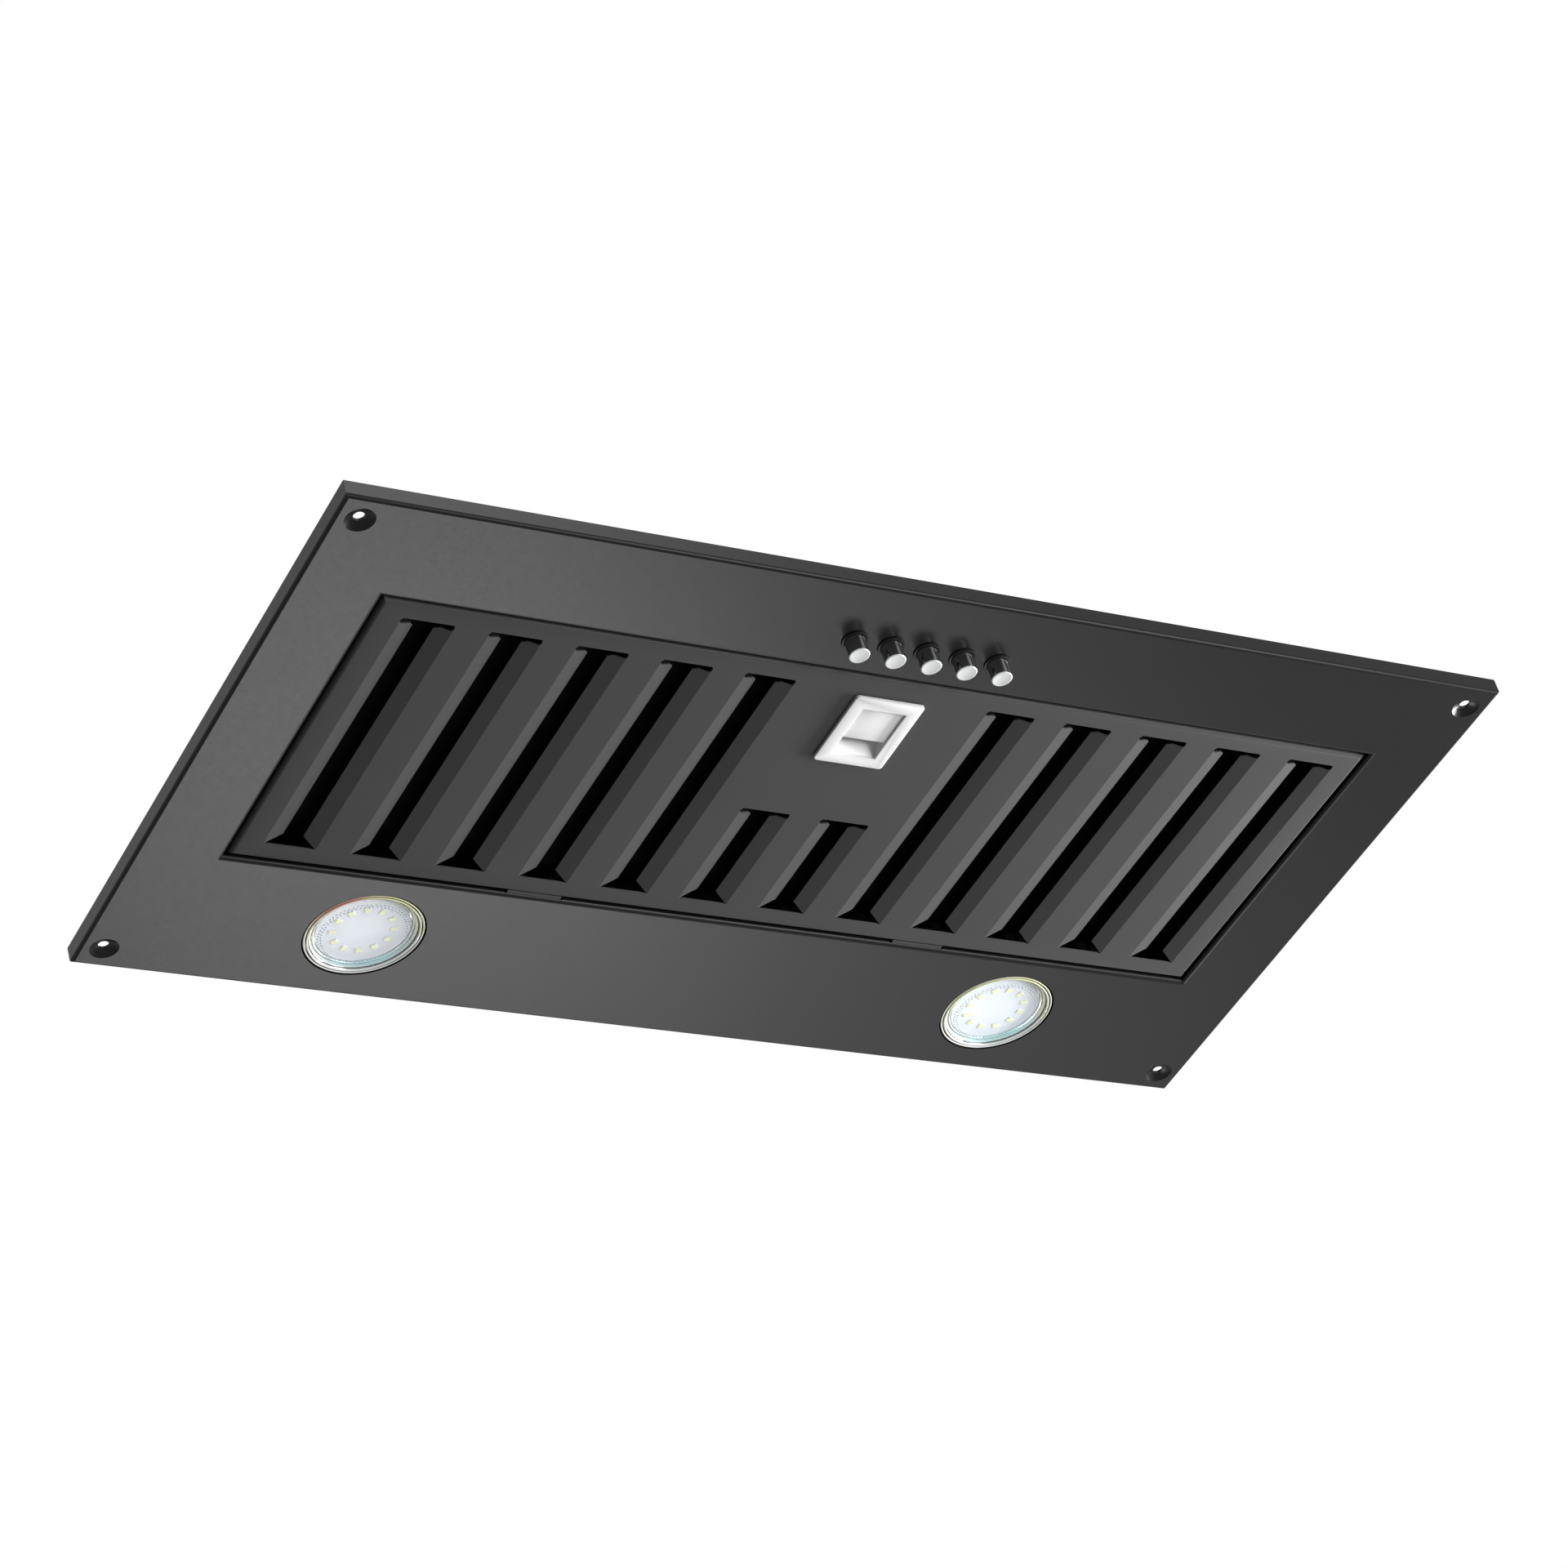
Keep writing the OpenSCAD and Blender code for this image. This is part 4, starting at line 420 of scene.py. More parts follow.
# %% Keep the low light off the galvanised body
flagged = bpy.data.collections.new("flagged_from_low_light")
for name, node in nodes.items():
    if slot_of_node[name] == "galvanised_sheet":
        flagged.objects.link(node)
for entry in flagged.collection_objects:
    entry.light_linking.link_state = "EXCLUDE"
bpy.data.objects["low_right_box"].light_linking.receiver_collection = flagged

# %% [markdown]
# ## Helpers for pieces
# A piece that needs more detail than its CAD node is made again and stands for it. Four helpers serve most
# of them. One keeps a finished mesh: it sets smooth shading up to the sharp edges, and ties the piece to
# its moving body. One turns a closed outline round an axis, as a lathe does. One joins a copy of a CAD
# node's loose triangles and rounds its edges, as a mould does. One finds the box of each separate solid in
# a node, so that places such as the screws' seats aren't typed again.

# %% Keep a finished mesh as a piece
def keep(name, mesh, slot, body, stands_for=(), finish=None, sharp=32):
    """Makes a piece of a finished mesh, which rides on its body and hides the CAD nodes it stands for."""
    if not mesh.materials:
        mesh.materials.append(finish or finishes[slot])
    mesh.polygons.foreach_set("use_smooth", [True] * len(mesh.polygons))
    mesh.set_sharp_from_angle(angle=radians(sharp))
    piece = bpy.data.objects.new(name, mesh)
    bpy.context.scene.collection.objects.link(piece)
    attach(piece, body)
    if stands_for:
        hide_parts(*stands_for)
    return piece


# %% Turn an outline round Z
def turned(name, outline, steps=96):
    """A closed mesh turned from a closed outline of (radius, height) in millimetres; its UV runs round it."""
    shape = bmesh.new()
    rings = [[shape.verts.new((r * MM * cos(2 * pi * k / steps),
                               r * MM * sin(2 * pi * k / steps), h * MM))
              for r, h in outline] for k in range(steps)]
    wrap = shape.loops.layers.uv.new("wrap")
    for k in range(steps):
        for i in range(len(outline)):
            j = (i + 1) % len(outline)
            if outline[i][0] == 0 and outline[j][0] == 0:
                continue
            near, far = rings[k], rings[(k + 1) % steps]
            face = shape.faces.new((near[i], far[i], far[j], near[j]))
            for loop, (u, v) in zip(face.loops, ((k, i), (k + 1, i), (k + 1, j), (k, j))):
                loop[wrap].uv = (u / steps, v / len(outline))
    bmesh.ops.remove_doubles(shape, verts=shape.verts, dist=1e-7)
    bmesh.ops.recalc_face_normals(shape, faces=shape.faces)
    mesh = bpy.data.meshes.new(name)
    shape.to_mesh(mesh)
    shape.free()
    return mesh


print("96 steps turn by", 360 / 96, "degrees each")

# %% Round the edges of a moulded part
JOIN_WITHIN, FLAT_WITHIN = 2e-6, 0.5


def joined_copy(node):
    """A copy of a CAD node's triangles whose shared corners are joined and whose flat faces are whole."""
    shape = bmesh.new()
    shape.from_mesh(nodes[node].data)
    bmesh.ops.remove_doubles(shape, verts=shape.verts, dist=JOIN_WITHIN)
    bmesh.ops.dissolve_limit(shape, angle_limit=radians(FLAT_WITHIN), verts=shape.verts, edges=shape.edges)
    mesh = bpy.data.meshes.new(node + "_joined")
    shape.to_mesh(mesh)
    shape.free()
    return mesh


def rounded(node, radius, angle=30):
    """A joined copy of a CAD node's mesh whose sharp edges are rounded to a radius in millimetres."""
    helper = bpy.data.objects.new(node + "_rounded", joined_copy(node))
    bpy.context.scene.collection.objects.link(helper)
    bevel = helper.modifiers.new("rounded_edges", "BEVEL")
    bevel.width, bevel.segments, bevel.limit_method = radius * MM, 2, "ANGLE"
    bevel.angle_limit = radians(angle)
    bevel.use_clamp_overlap = True
    depsgraph = bpy.context.evaluated_depsgraph_get()
    result = bpy.data.meshes.new_from_object(helper.evaluated_get(depsgraph), depsgraph=depsgraph)
    bpy.data.objects.remove(helper)
    result.materials.clear()
    return result


print("corners within", JOIN_WITHIN / MM, "mm are joined")

# %% Solids of a CAD node
def solids_of(node):
    """The lowest and highest corner of each separate solid in a CAD node, from left to right."""
    shape = bmesh.new()
    shape.from_mesh(nodes[node].data)
    bmesh.ops.remove_doubles(shape, verts=shape.verts, dist=JOIN_WITHIN)
    boxes, waiting = [], set(shape.verts)
    while waiting:
        island, edge_of_island = set(), [waiting.pop()]
        while edge_of_island:
            vert = edge_of_island.pop()
            island.add(vert)
            for edge in vert.link_edges:
                other = edge.other_vert(vert)
                if other in waiting:
                    waiting.discard(other)
                    edge_of_island.append(other)
        low = Vector([min(v.co[i] for v in island) for i in range(3)])
        high = Vector([max(v.co[i] for v in island) for i in range(3)])
        boxes.append((low, high))
    shape.free()
    return sorted(boxes, key=lambda pair: tuple(pair[0]))


print("top cover screws:", len(solids_of("top_cover_screws")))

# %% [markdown]
# ## Relief slits of the filter
# Each slot's two flaps are folded inwards from the sheet. So that they can fold without tearing it, the
# sheet is first punched with a narrow slit with round ends across the slot's front end. The slits are cut
# from a joined copy of the CAD sheet with a boolean, because the same punch cuts all of them.

# %% Slit punch
SLOT_COUNT, SLOT_WIDTH, SLOT_SIDE = 12, 22.0, 3.6
SLOT_FRONT, SHORT_SLOT_FRONT = 8.1, 82.7
SLIT_DEPTH, SLIT_OVERRUN = 3.4, 0.4
PUNCH_BELOW, PUNCH_ABOVE = 1, 4
sheet_low, sheet_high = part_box("filter_front_sheet")
pitch = ((sheet_high.x - sheet_low.x) / MM - 2 * SLOT_SIDE) / SLOT_COUNT


def add_slit(shape, x, y, width, depth, low, high, steps=8):
    """Adds an upright prism with round ends: width along x, depth along y, all in millimetres."""
    r = depth / 2
    edge = []
    for side in (1, -1):
        for k in range(steps + 1):
            a = radians(-90 + 180 * k / steps) if side == 1 else radians(90 + 180 * k / steps)
            edge.append((x + side * (width / 2 - r) + r * cos(a), y + r + r * sin(a)))
    bottom = [shape.verts.new((u * MM, v * MM, low * MM)) for u, v in edge]
    top = [shape.verts.new((u * MM, v * MM, high * MM)) for u, v in edge]
    shape.faces.new(bottom)
    shape.faces.new(top)
    for k in range(len(edge)):
        m = (k + 1) % len(edge)
        shape.faces.new((bottom[k], bottom[m], top[m], top[k]))


punch = bmesh.new()
for number in range(SLOT_COUNT):
    is_short = number in (SLOT_COUNT // 2 - 1, SLOT_COUNT // 2)
    front = sheet_low.y / MM + (SHORT_SLOT_FRONT if is_short else SLOT_FRONT)
    add_slit(punch, (number - SLOT_COUNT / 2 + 0.5) * pitch, front, SLOT_WIDTH + SLIT_OVERRUN, SLIT_DEPTH,
             sheet_low.z / MM - PUNCH_BELOW, sheet_low.z / MM + PUNCH_ABOVE)
bmesh.ops.recalc_face_normals(punch, faces=punch.faces)
punch_mesh = bpy.data.meshes.new("slit_punch")
punch.to_mesh(punch_mesh)
punch.free()
print("slit pitch", round(pitch, 2))

# %% Punched filter sheet
def cut_away(mesh, cutter_mesh):
    """A mesh with a cutter's shape taken out of it."""
    solid = bpy.data.objects.new("solid", mesh)
    cutter = bpy.data.objects.new("cutter", cutter_mesh)
    for thing in (solid, cutter):
        bpy.context.scene.collection.objects.link(thing)
    cut = solid.modifiers.new("cut", "BOOLEAN")
    cut.object, cut.operation, cut.solver, cut.use_self = cutter, "DIFFERENCE", "EXACT", True
    depsgraph = bpy.context.evaluated_depsgraph_get()
    result = bpy.data.meshes.new_from_object(solid.evaluated_get(depsgraph), depsgraph=depsgraph)
    for thing in (solid, cutter):
        bpy.data.objects.remove(thing)
    return result


joined = joined_copy("filter_front_sheet")
mesh = cut_away(joined, punch_mesh)
mesh.materials.clear()
keep("filter_sheet_punched", mesh, "filter_paint", "filter", ["filter_front_sheet"], sharp=10)
print("punched sheet", len(mesh.polygons), "faces from", len(joined.polygons))

# %% [markdown]
# ## Latch
# The latch is a moulded bezel with a finger window. The finger goes in over the ramp and pulls the pad
# back. Injection moulding never leaves a razor edge, and the thin bright line along the bezel's rim in the
# photograph is such a rounded edge catching the light. So both parts are joined copies of the CAD with
# rounded edges.

# %% Latch bezel and slider
BEZEL_EDGE, SLIDER_EDGE = 0.35, 0.25
keep("latch_bezel_moulding", rounded("latch_bezel", BEZEL_EDGE), "pale_plastic", "filter", ["latch_bezel"])
keep("latch_slider_moulding", rounded("latch_slider", SLIDER_EDGE), "pale_plastic", "latch", ["latch_slider"])

# %% [markdown]
# ## Push buttons
# Each button is a turned shape: a round cap with a small rolled edge round its flat end, and a collar that
# stops it behind its ferrule. A lathe outline gives exactly that. The ferrule is a black snap-in bush with
# a rounded flange, seen as a dark ring round every button.

# %% Button caps
def button_outline(low, high, radius, collar_radius, collar_low, collar_high):
    """Half a section through a button: flat end with a shallow dish, rolled edge, side, collar."""
    roll, dish_depth = 0.45, 0.12
    dish_radius, flat_radius = radius - roll - 0.5, radius - roll - 0.2
    bend = [(radius - roll + roll * sin(radians(a)), low + roll - roll * cos(radians(a)))
            for a in range(0, 91, 15)]
    return [(0, low + dish_depth), (dish_radius, low + dish_depth), (flat_radius, low), *bend,
            (radius, collar_low), (collar_radius, collar_low), (collar_radius, collar_high),
            (radius, collar_high), (radius, high), (0, high)]


COLLAR_WIDTH, COLLAR_LOW, COLLAR_HIGH, SATIN_UP_TO = 0.8, 1.3, 0.6, 0.3
for label in ("off", "speed_low", "speed_medium", "speed_high", "lamp"):
    low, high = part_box("button_" + label)
    middle = (low + high) / 2
    collar_radius = (high.x - low.x) / 2 / MM
    top = high.z / MM
    outline = button_outline(low.z / MM, top, collar_radius - COLLAR_WIDTH, collar_radius,
                             top - COLLAR_LOW, top - COLLAR_HIGH)
    mesh = turned("button_" + label, outline, 72)
    mesh.materials.append(finishes["chromed_button"])
    mesh.materials.append(satin_chrome)
    for face in mesh.polygons:
        face.material_index = int(face.center.z < low.z + SATIN_UP_TO * MM)
    mesh.transform(Matrix.Translation((middle.x, middle.y, 0)))
    keep("cap_" + label, mesh, "chromed_button", "button_" + label + "_body", ["button_" + label])
print("cap length", round(top - low.z / MM, 2), "mm")

# %% Ferrules
BUSH_WALL = 1.15
ferrules = bmesh.new()
for low, high in solids_of("button_ferrules"):
    radius, bottom, top = (high.x - low.x) / 2 / MM, low.z / MM, high.z / MM
    bore, neck, shoulder = radius - BUSH_WALL, radius - 0.5, bottom + 0.7
    lip = [(bore, bottom + 0.25), (bore + 0.2, bottom), (radius - 0.35, bottom),
           (radius - 0.1, bottom + 0.12), (radius, bottom + 0.4), (radius, shoulder), (neck, shoulder),
           (neck, top), (bore, top)]
    ring = turned("ferrule", lip, 72)
    ring.transform(Matrix.Translation(((low.x + high.x) / 2, (low.y + high.y) / 2, 0)))
    ferrules.from_mesh(ring)
mesh = bpy.data.meshes.new("ferrules")
ferrules.to_mesh(mesh)
ferrules.free()
keep("button_bushes", mesh, "gloss_black_plastic", "hood", ["button_ferrules"])
print("bushes", len(solids_of("button_ferrules")), "with a bore of", round(2 * bore, 2), "mm")

# %% [markdown]
# ## Lamps
# Each lamp is a small reflector lamp of 50 mm. Its rim is pressed glass with two round beads, which show as
# fine bright rings. Behind the clear cover lies a ridged shelf, tinted by the reflector's coating, and the
# white board with twelve diodes. The rim and the cover are turned shapes. The tint goes round the lamp, so
# it reads the UV that the lathe helper wrote round the piece. The grooves between beads and ridges get
# painted shade, read from the UV across the outline.

# %% Tinted reflector glass
def tint_round(tree, turn_by, stops):
    """Colours that follow each other round the lamp, given as (part of a turn, hex colour)."""
    tints = put(tree, "ShaderNodeValToRGB", {0: turn_by})
    while len(tints.color_ramp.elements) < len(stops):
        tints.color_ramp.elements.new(0.5)
    for element, (spot, code) in zip(tints.color_ramp.elements, stops):
        element.position = spot
        element.color = linear(code)
    return tints


WOBBLE, SHELF_PART = 0.16, 0.49


def reflector_glass(name, bead_stops, shelf_stops, painted_groove_shade_stops):
    """Coated glass: a row of tints for its two beads, one for the shelf inside, and painted shade in the
    grooves between.
    """
    finish, tree, shader, place = begin_finish(name, Metallic=0.45, IOR=1.5)
    round_uv = put(tree, "ShaderNodeUVMap", uv_map="wrap").outputs[0]
    turn, across = put(tree, "ShaderNodeSeparateXYZ", {0: round_uv}).outputs[:2]
    wobble = put(tree, "ShaderNodeTexNoise", {"Vector": place, "Scale": 1 / (9 * MM), "Detail": 2.0})
    shift = put(tree, "ShaderNodeMath", {0: wobble.outputs[0], 1: WOBBLE, 2: turn}, operation="MULTIPLY_ADD")
    shift = put(tree, "ShaderNodeMath", {0: shift.outputs[0], 1: WOBBLE / 2}, operation="SUBTRACT")
    shift = put(tree, "ShaderNodeMath", {0: shift.outputs[0]}, operation="FRACT")
    beads = tint_round(tree, shift.outputs[0], bead_stops).outputs[0]
    shelf = tint_round(tree, shift.outputs[0], shelf_stops).outputs[0]
    is_shelf = put(tree, "ShaderNodeMath", {0: across, 1: SHELF_PART}, operation="LESS_THAN")
    tint = put(tree, "ShaderNodeMix", {0: is_shelf.outputs[0], 6: beads, 7: shelf}, data_type="RGBA")
    # Painted shade: the grooves' dark stops multiply the tint, darkening the grooves between beads and
    # ridges.
    painted_groove_shade = tint_round(tree, across, painted_groove_shade_stops)
    painted_groove_shade.color_ramp.interpolation = "CONSTANT"
    shaded = put(tree, "ShaderNodeMix", {0: 1.0, 6: tint.outputs[2], 7: painted_groove_shade.outputs[0]},
                 data_type="RGBA", blend_type="MULTIPLY")
    ripple = put(tree, "ShaderNodeTexNoise", {"Vector": place, "Scale": 1 / (1.8 * MM), "Detail": 2.0})
    polish = put(tree, "ShaderNodeMapRange", {"Value": ripple.outputs[0], "To Min": 0.16, "To Max": 0.24})
    relief = put(tree, "ShaderNodeBump", {"Height": ripple.outputs[0], "Distance": 0.01 * MM,
                                          "Strength": 0.3})
    tree.links.new(shaded.outputs[2], shader.inputs["Base Color"])
    tree.links.new(polish.outputs[0], shader.inputs["Roughness"])
    tree.links.new(relief.outputs[0], shader.inputs["Normal"])
    return finish


print("the helper for reflector glass is ready")

# %% Tints of the left and the right lamp
warm_side = [(0.5, "#e4e4d4"), (0.6, "#d4a793"), (0.68, "#dab3a0"), (0.76, "#dcdeb4"), (0.88, "#e4e6cc")]
pale_side = [(0.5, "#e0e2c4"), (0.6, "#dfe2b8"), (0.68, "#e6e7d0"), (0.76, "#e2e4bc"), (0.88, "#e6e7d4")]
bead_start = [(0.0, "#e6e8e4"), (0.1, "#e6eaea"), (0.24, "#e8ebeb"), (0.36, "#e2e2de")]
shelf_start = [(0.0, "#e0e6e2"), (0.1, "#c4f4f4"), (0.24, "#d4f1f5"), (0.36, "#e4e6e4")]
# Painted shade in the grooves: dark stops across the outline, white elsewhere.
painted_groove_shade_stops = [(0.0, "#ffffff"), (0.3, "#4a4c4c"), (0.35, "#ffffff"), (SHELF_PART, "#3a3a3a"),
                (0.545, "#ffffff"), (0.675, "#303030"), (0.75, "#ffffff")]
coated_glass = {}
for side, tints in (("left", warm_side), ("right", pale_side)):
    coated_glass[side] = reflector_glass("dichroic_glass_" + side, bead_start + tints, shelf_start + tints,
                                         painted_groove_shade_stops)
print("reflector glass for", sorted(coated_glass))

# %% Clear cover and yellow phosphor
finish, tree, shader, place = begin_finish("clear_polycarbonate", IOR=1.58, Alpha=0.08)
ripple = put(tree, "ShaderNodeTexNoise", {"Vector": place, "Scale": 1 / (3 * MM), "Detail": 2.0})
dress(tree, shader, ripple.outputs[0], "#e6edf4", "#f2f6fa", ripple.outputs[0], 0.04, 0.1,
      ripple.outputs[0], 0.006 * MM)
clear_cover = finish

finish, tree, shader, place = begin_finish("moulded_prism_dots", IOR=1.58)
ripple = put(tree, "ShaderNodeTexNoise", {"Vector": place, "Scale": 1 / (1.5 * MM), "Detail": 2.0})
dress(tree, shader, ripple.outputs[0], "#84909a", "#a0acb6", ripple.outputs[0], 0.1, 0.2,
      ripple.outputs[0], 0.006 * MM)
prism_finish = finish

finish, tree, shader, place = begin_finish("phosphor_in_silicone", IOR=1.41)
speck = put(tree, "ShaderNodeTexNoise", {"Vector": place, "Scale": 1 / (0.5 * MM), "Detail": 2.0})
dress(tree, shader, speck.outputs[0], "#eef2a6", "#f6f8c0", speck.outputs[0], 0.2, 0.4,
      speck.outputs[0], 0.01 * MM)
phosphor = finish
print("lamp finishes", clear_cover.name, prism_finish.name, phosphor.name)

# %% [markdown]
# ### Diodes and dots that repeat
# Twelve diodes stand on a ring, and the cover has a band of small round prisms near its edge that spread
# the light. Both repeat by a rule, so a Geometry Nodes tree makes them: it numbers its points, works out
# each one's ring and angle from its number, puts a small shape on it and makes the copies real. Its sizes
# are named inputs, set on the modifier by each socket's identifier before the tree first runs.

# %% Inputs of a tree, and running it once
def named_input(tree, label, kind, value=None):
    """Adds an input with a name to a Geometry Nodes tree."""
    socket = tree.interface.new_socket(label, in_out="INPUT", socket_type=kind)
    if value is not None:
        socket.default_value = value


def begin_tree(name, **inputs):
    """A tree with a geometry input and output and named inputs, each given as (kind, value)."""
    tree = bpy.data.node_groups.new(name, "GeometryNodeTree")
    named_input(tree, "Geometry", "NodeSocketGeometry")
    for label, (kind, value) in inputs.items():
        named_input(tree, label.replace("_", " "), "NodeSocket" + kind, value)
    tree.interface.new_socket("Geometry", in_out="OUTPUT", socket_type="NodeSocketGeometry")
    return tree, put(tree, "NodeGroupInput").outputs


def end_tree(tree, shapes, finish):
    """Makes the copies real, gives them their finish and closes the tree."""
    real = put(tree, "GeometryNodeRealizeInstances", {"Geometry": shapes})
    coat = put(tree, "GeometryNodeSetMaterial", {"Geometry": real.outputs[0], "Material": finish})
    put(tree, "NodeGroupOutput", {"Geometry": coat.outputs[0]})


def grow(tree, seed_points=(), **sizes):
    """Runs a tree once on some points and returns the plain mesh that it made."""
    seed = bpy.data.meshes.new("seed")
    seed.from_pydata([tuple(p) for p in seed_points], [], [])
    helper = bpy.data.objects.new("seed", seed)
    bpy.context.scene.collection.objects.link(helper)
    modifier = helper.modifiers.new("grow", "NODES")
    modifier.node_group = tree
    for socket in tree.interface.items_tree:
        if socket.in_out == "INPUT" and socket.name.replace(" ", "_") in sizes:
            modifier[socket.identifier] = sizes[socket.name.replace(" ", "_")]
    depsgraph = bpy.context.evaluated_depsgraph_get()
    mesh = bpy.data.meshes.new_from_object(helper.evaluated_get(depsgraph), depsgraph=depsgraph)
    bpy.data.objects.remove(helper)
    return mesh


def shape_object(name, mesh):
    """A small shape that a tree copies; it isn't linked to the scene, so it doesn't show itself."""
    return bpy.data.objects.new(name, mesh)


# %% The tree of shapes on rings
ring_tree, given = begin_tree("shapes_on_rings", Shape=("Object", None), Around=("Int", 12),
                              Rings=("Int", 1), Inner_Radius=("Float", 0.01),
                              Outer_Radius=("Float", 0.01), Finish=("Material", None))
number = put(ring_tree, "GeometryNodeInputIndex").outputs[0]
total = put(ring_tree, "ShaderNodeMath", {0: given["Around"], 1: given["Rings"]}, operation="MULTIPLY")
turns = put(ring_tree, "ShaderNodeMath", {0: number, 1: given["Around"]}, operation="DIVIDE")
ring = put(ring_tree, "ShaderNodeMath", {0: turns.outputs[0]}, operation="FLOOR")
others = put(ring_tree, "ShaderNodeMath", {0: given["Rings"], 1: 1.0}, operation="SUBTRACT")
others = put(ring_tree, "ShaderNodeMath", {0: others.outputs[0], 1: 1.0}, operation="MAXIMUM")
share = put(ring_tree, "ShaderNodeMath", {0: ring.outputs[0], 1: others.outputs[0]}, operation="DIVIDE")
reach = put(ring_tree, "ShaderNodeMapRange", {"Value": share.outputs[0], "To Min": given["Inner Radius"],
                                              "To Max": given["Outer Radius"]})
half = put(ring_tree, "ShaderNodeMath", {0: ring.outputs[0], 1: 0.5, 2: number}, operation="MULTIPLY_ADD")
angle = put(ring_tree, "ShaderNodeMath", {0: half.outputs[0], 1: 2 * pi}, operation="MULTIPLY")
angle = put(ring_tree, "ShaderNodeMath", {0: angle.outputs[0], 1: given["Around"]}, operation="DIVIDE")
turn = put(ring_tree, "ShaderNodeCombineXYZ", {"Z": angle.outputs[0]})
arm = put(ring_tree, "ShaderNodeCombineXYZ", {"X": reach.outputs[0]})
spot = put(ring_tree, "ShaderNodeVectorRotate", {"Vector": arm.outputs[0], "Angle": angle.outputs[0]},
           rotation_type="Z_AXIS")
dots = put(ring_tree, "GeometryNodePoints", {"Count": total.outputs[0], "Position": spot.outputs[0]})
shape = put(ring_tree, "GeometryNodeObjectInfo", {"Object": given["Shape"]})
copies = put(ring_tree, "GeometryNodeInstanceOnPoints", {"Points": dots.outputs[0],
             "Instance": shape.outputs["Geometry"], "Rotation": turn.outputs[0]})
end_tree(ring_tree, copies.outputs[0], given["Finish"])
print("ring tree has", len(ring_tree.nodes), "nodes")

# %% Small shapes for the lamps
def block_shape(name, width, depth, height, edge):
    """A block with chamfered edges round its origin, in millimetres."""
    shape = bmesh.new()
    bmesh.ops.create_cube(shape, size=1.0)
    bmesh.ops.scale(shape, vec=Vector((width, depth, height)) * MM, verts=shape.verts)
    bmesh.ops.bevel(shape, geom=shape.edges[:], offset=edge * MM, segments=1, affect="EDGES")
    mesh = bpy.data.meshes.new(name)
    shape.to_mesh(mesh)
    shape.free()
    return shape_object(name, mesh)


diode_body = block_shape("diode_body", width=3.2, depth=2.8, height=0.2, edge=0.06)
diode_window = block_shape("diode_window", width=2.6, depth=2.3, height=0.1, edge=0.04)
dot_outline = [(0, 0), (0, -0.2), (0.18, -0.17), (0.32, -0.08), (0.36, 0)]
prism_dot = shape_object("prism_dot", turned("prism_dot", dot_outline, 8))
print("shapes", diode_body.name, diode_window.name, prism_dot.name)

# %% Outlines of rim, cover and board, and where diodes and dots sit, in millimetres
rim_outline = [(11.6, 36), (9.6, 36), (9.6, 28), (17.5, 4.2), (19.9, 4.2), (19.9, 2.6), (20.1, 2.2),
               (20.5, 2.1), (20.7, 2.7), (21.0, 2.7), (21.15, 2.1), (21.5, 1.8), (21.9, 1.6), (22.1, 1.3),
               (22.35, 0.9), (22.6, 0.3), (22.9, 0.12), (23.25, 0.3), (23.35, 1.6), (23.8, 1.6),
               (23.9, 0.3), (24.2, 0.1), (24.55, 0.25), (24.7, 0.6), (24.7, 4.1), (11.6, 30)]
cover_outline = [(0, 0.4), (19.2, 0.4), (19.5, 0.55), (19.8, 0.4), (21.6, 0.4), (21.9, 0.6), (21.9, 1.9),
                 (0, 1.9)]
board_outline = [(0, 2.6), (19.3, 2.6), (19.5, 2.75), (19.5, 4.2), (0, 4.2)]
ZERO_BELOW_CUP, DIODE_RING, DIODE_HEIGHT, WINDOW_HEIGHT = 0.1, 12.6, 2.55, 2.43
INNER_DOTS, OUTER_DOTS, DOT_HEIGHT = 17.5, 18.7, 0.4
BOARD_TURN = {"left": 15, "right": 0}
print("rim outline has", len(rim_outline), "points, out to radius", max(r for r, h in rim_outline), "mm")

# %% Rim, cover, board and diodes of each lamp
for side in ("left", "right"):
    low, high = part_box("lamp_cup_" + side)
    centre = Matrix.Translation(((low.x + high.x) / 2, (low.y + high.y) / 2, low.z - ZERO_BELOW_CUP * MM))
    rim = turned("lamp_rim", rim_outline, 128)
    rim.transform(centre)
    keep("lamp_reflector_" + side, rim, "lamp_glass", "hood", ["lamp_cup_" + side], coated_glass[side])
    cover = turned("lamp_cover", cover_outline, 96)
    cover.transform(centre)
    keep("lamp_clear_cover_" + side, cover, "lamp_glass", "hood", ["lamp_cover_" + side], clear_cover)
    board = turned("lamp_board", board_outline, 96)
    board.transform(centre)
    keep("lamp_diode_board_" + side, board, "lamp_board", "hood", ["lamp_board_" + side])
    board_turn = Matrix.Rotation(radians(BOARD_TURN[side]), 4, "Z")
    for label, shape, height, finish in (("diodes", diode_body, DIODE_HEIGHT, finishes["lamp_board"]),
                                         ("phosphors", diode_window, WINDOW_HEIGHT, phosphor)):
        mesh = grow(ring_tree, Shape=shape, Around=12, Rings=1, Inner_Radius=DIODE_RING * MM,
                    Outer_Radius=DIODE_RING * MM, Finish=finish)
        mesh.transform(centre @ Matrix.Translation((0, 0, height * MM)) @ board_turn)
        keep("lamp_" + label + "_" + side, mesh, "lamp_board", "hood")
    mesh = grow(ring_tree, Shape=prism_dot, Around=64, Rings=2, Inner_Radius=INNER_DOTS * MM,
                Outer_Radius=OUTER_DOTS * MM, Finish=prism_finish)
    mesh.transform(centre @ Matrix.Translation((0, 0, DOT_HEIGHT * MM)))
    keep("lamp_prism_dots_" + side, mesh, "lamp_glass", "hood")

# %% [markdown]
# ## Latch spring
# A compression spring is wire wound on a mandrel: a helix of seven turns. A Geometry Nodes tree draws a
# spiral whose two radii are equal, and sweeps the wire's round section along it.

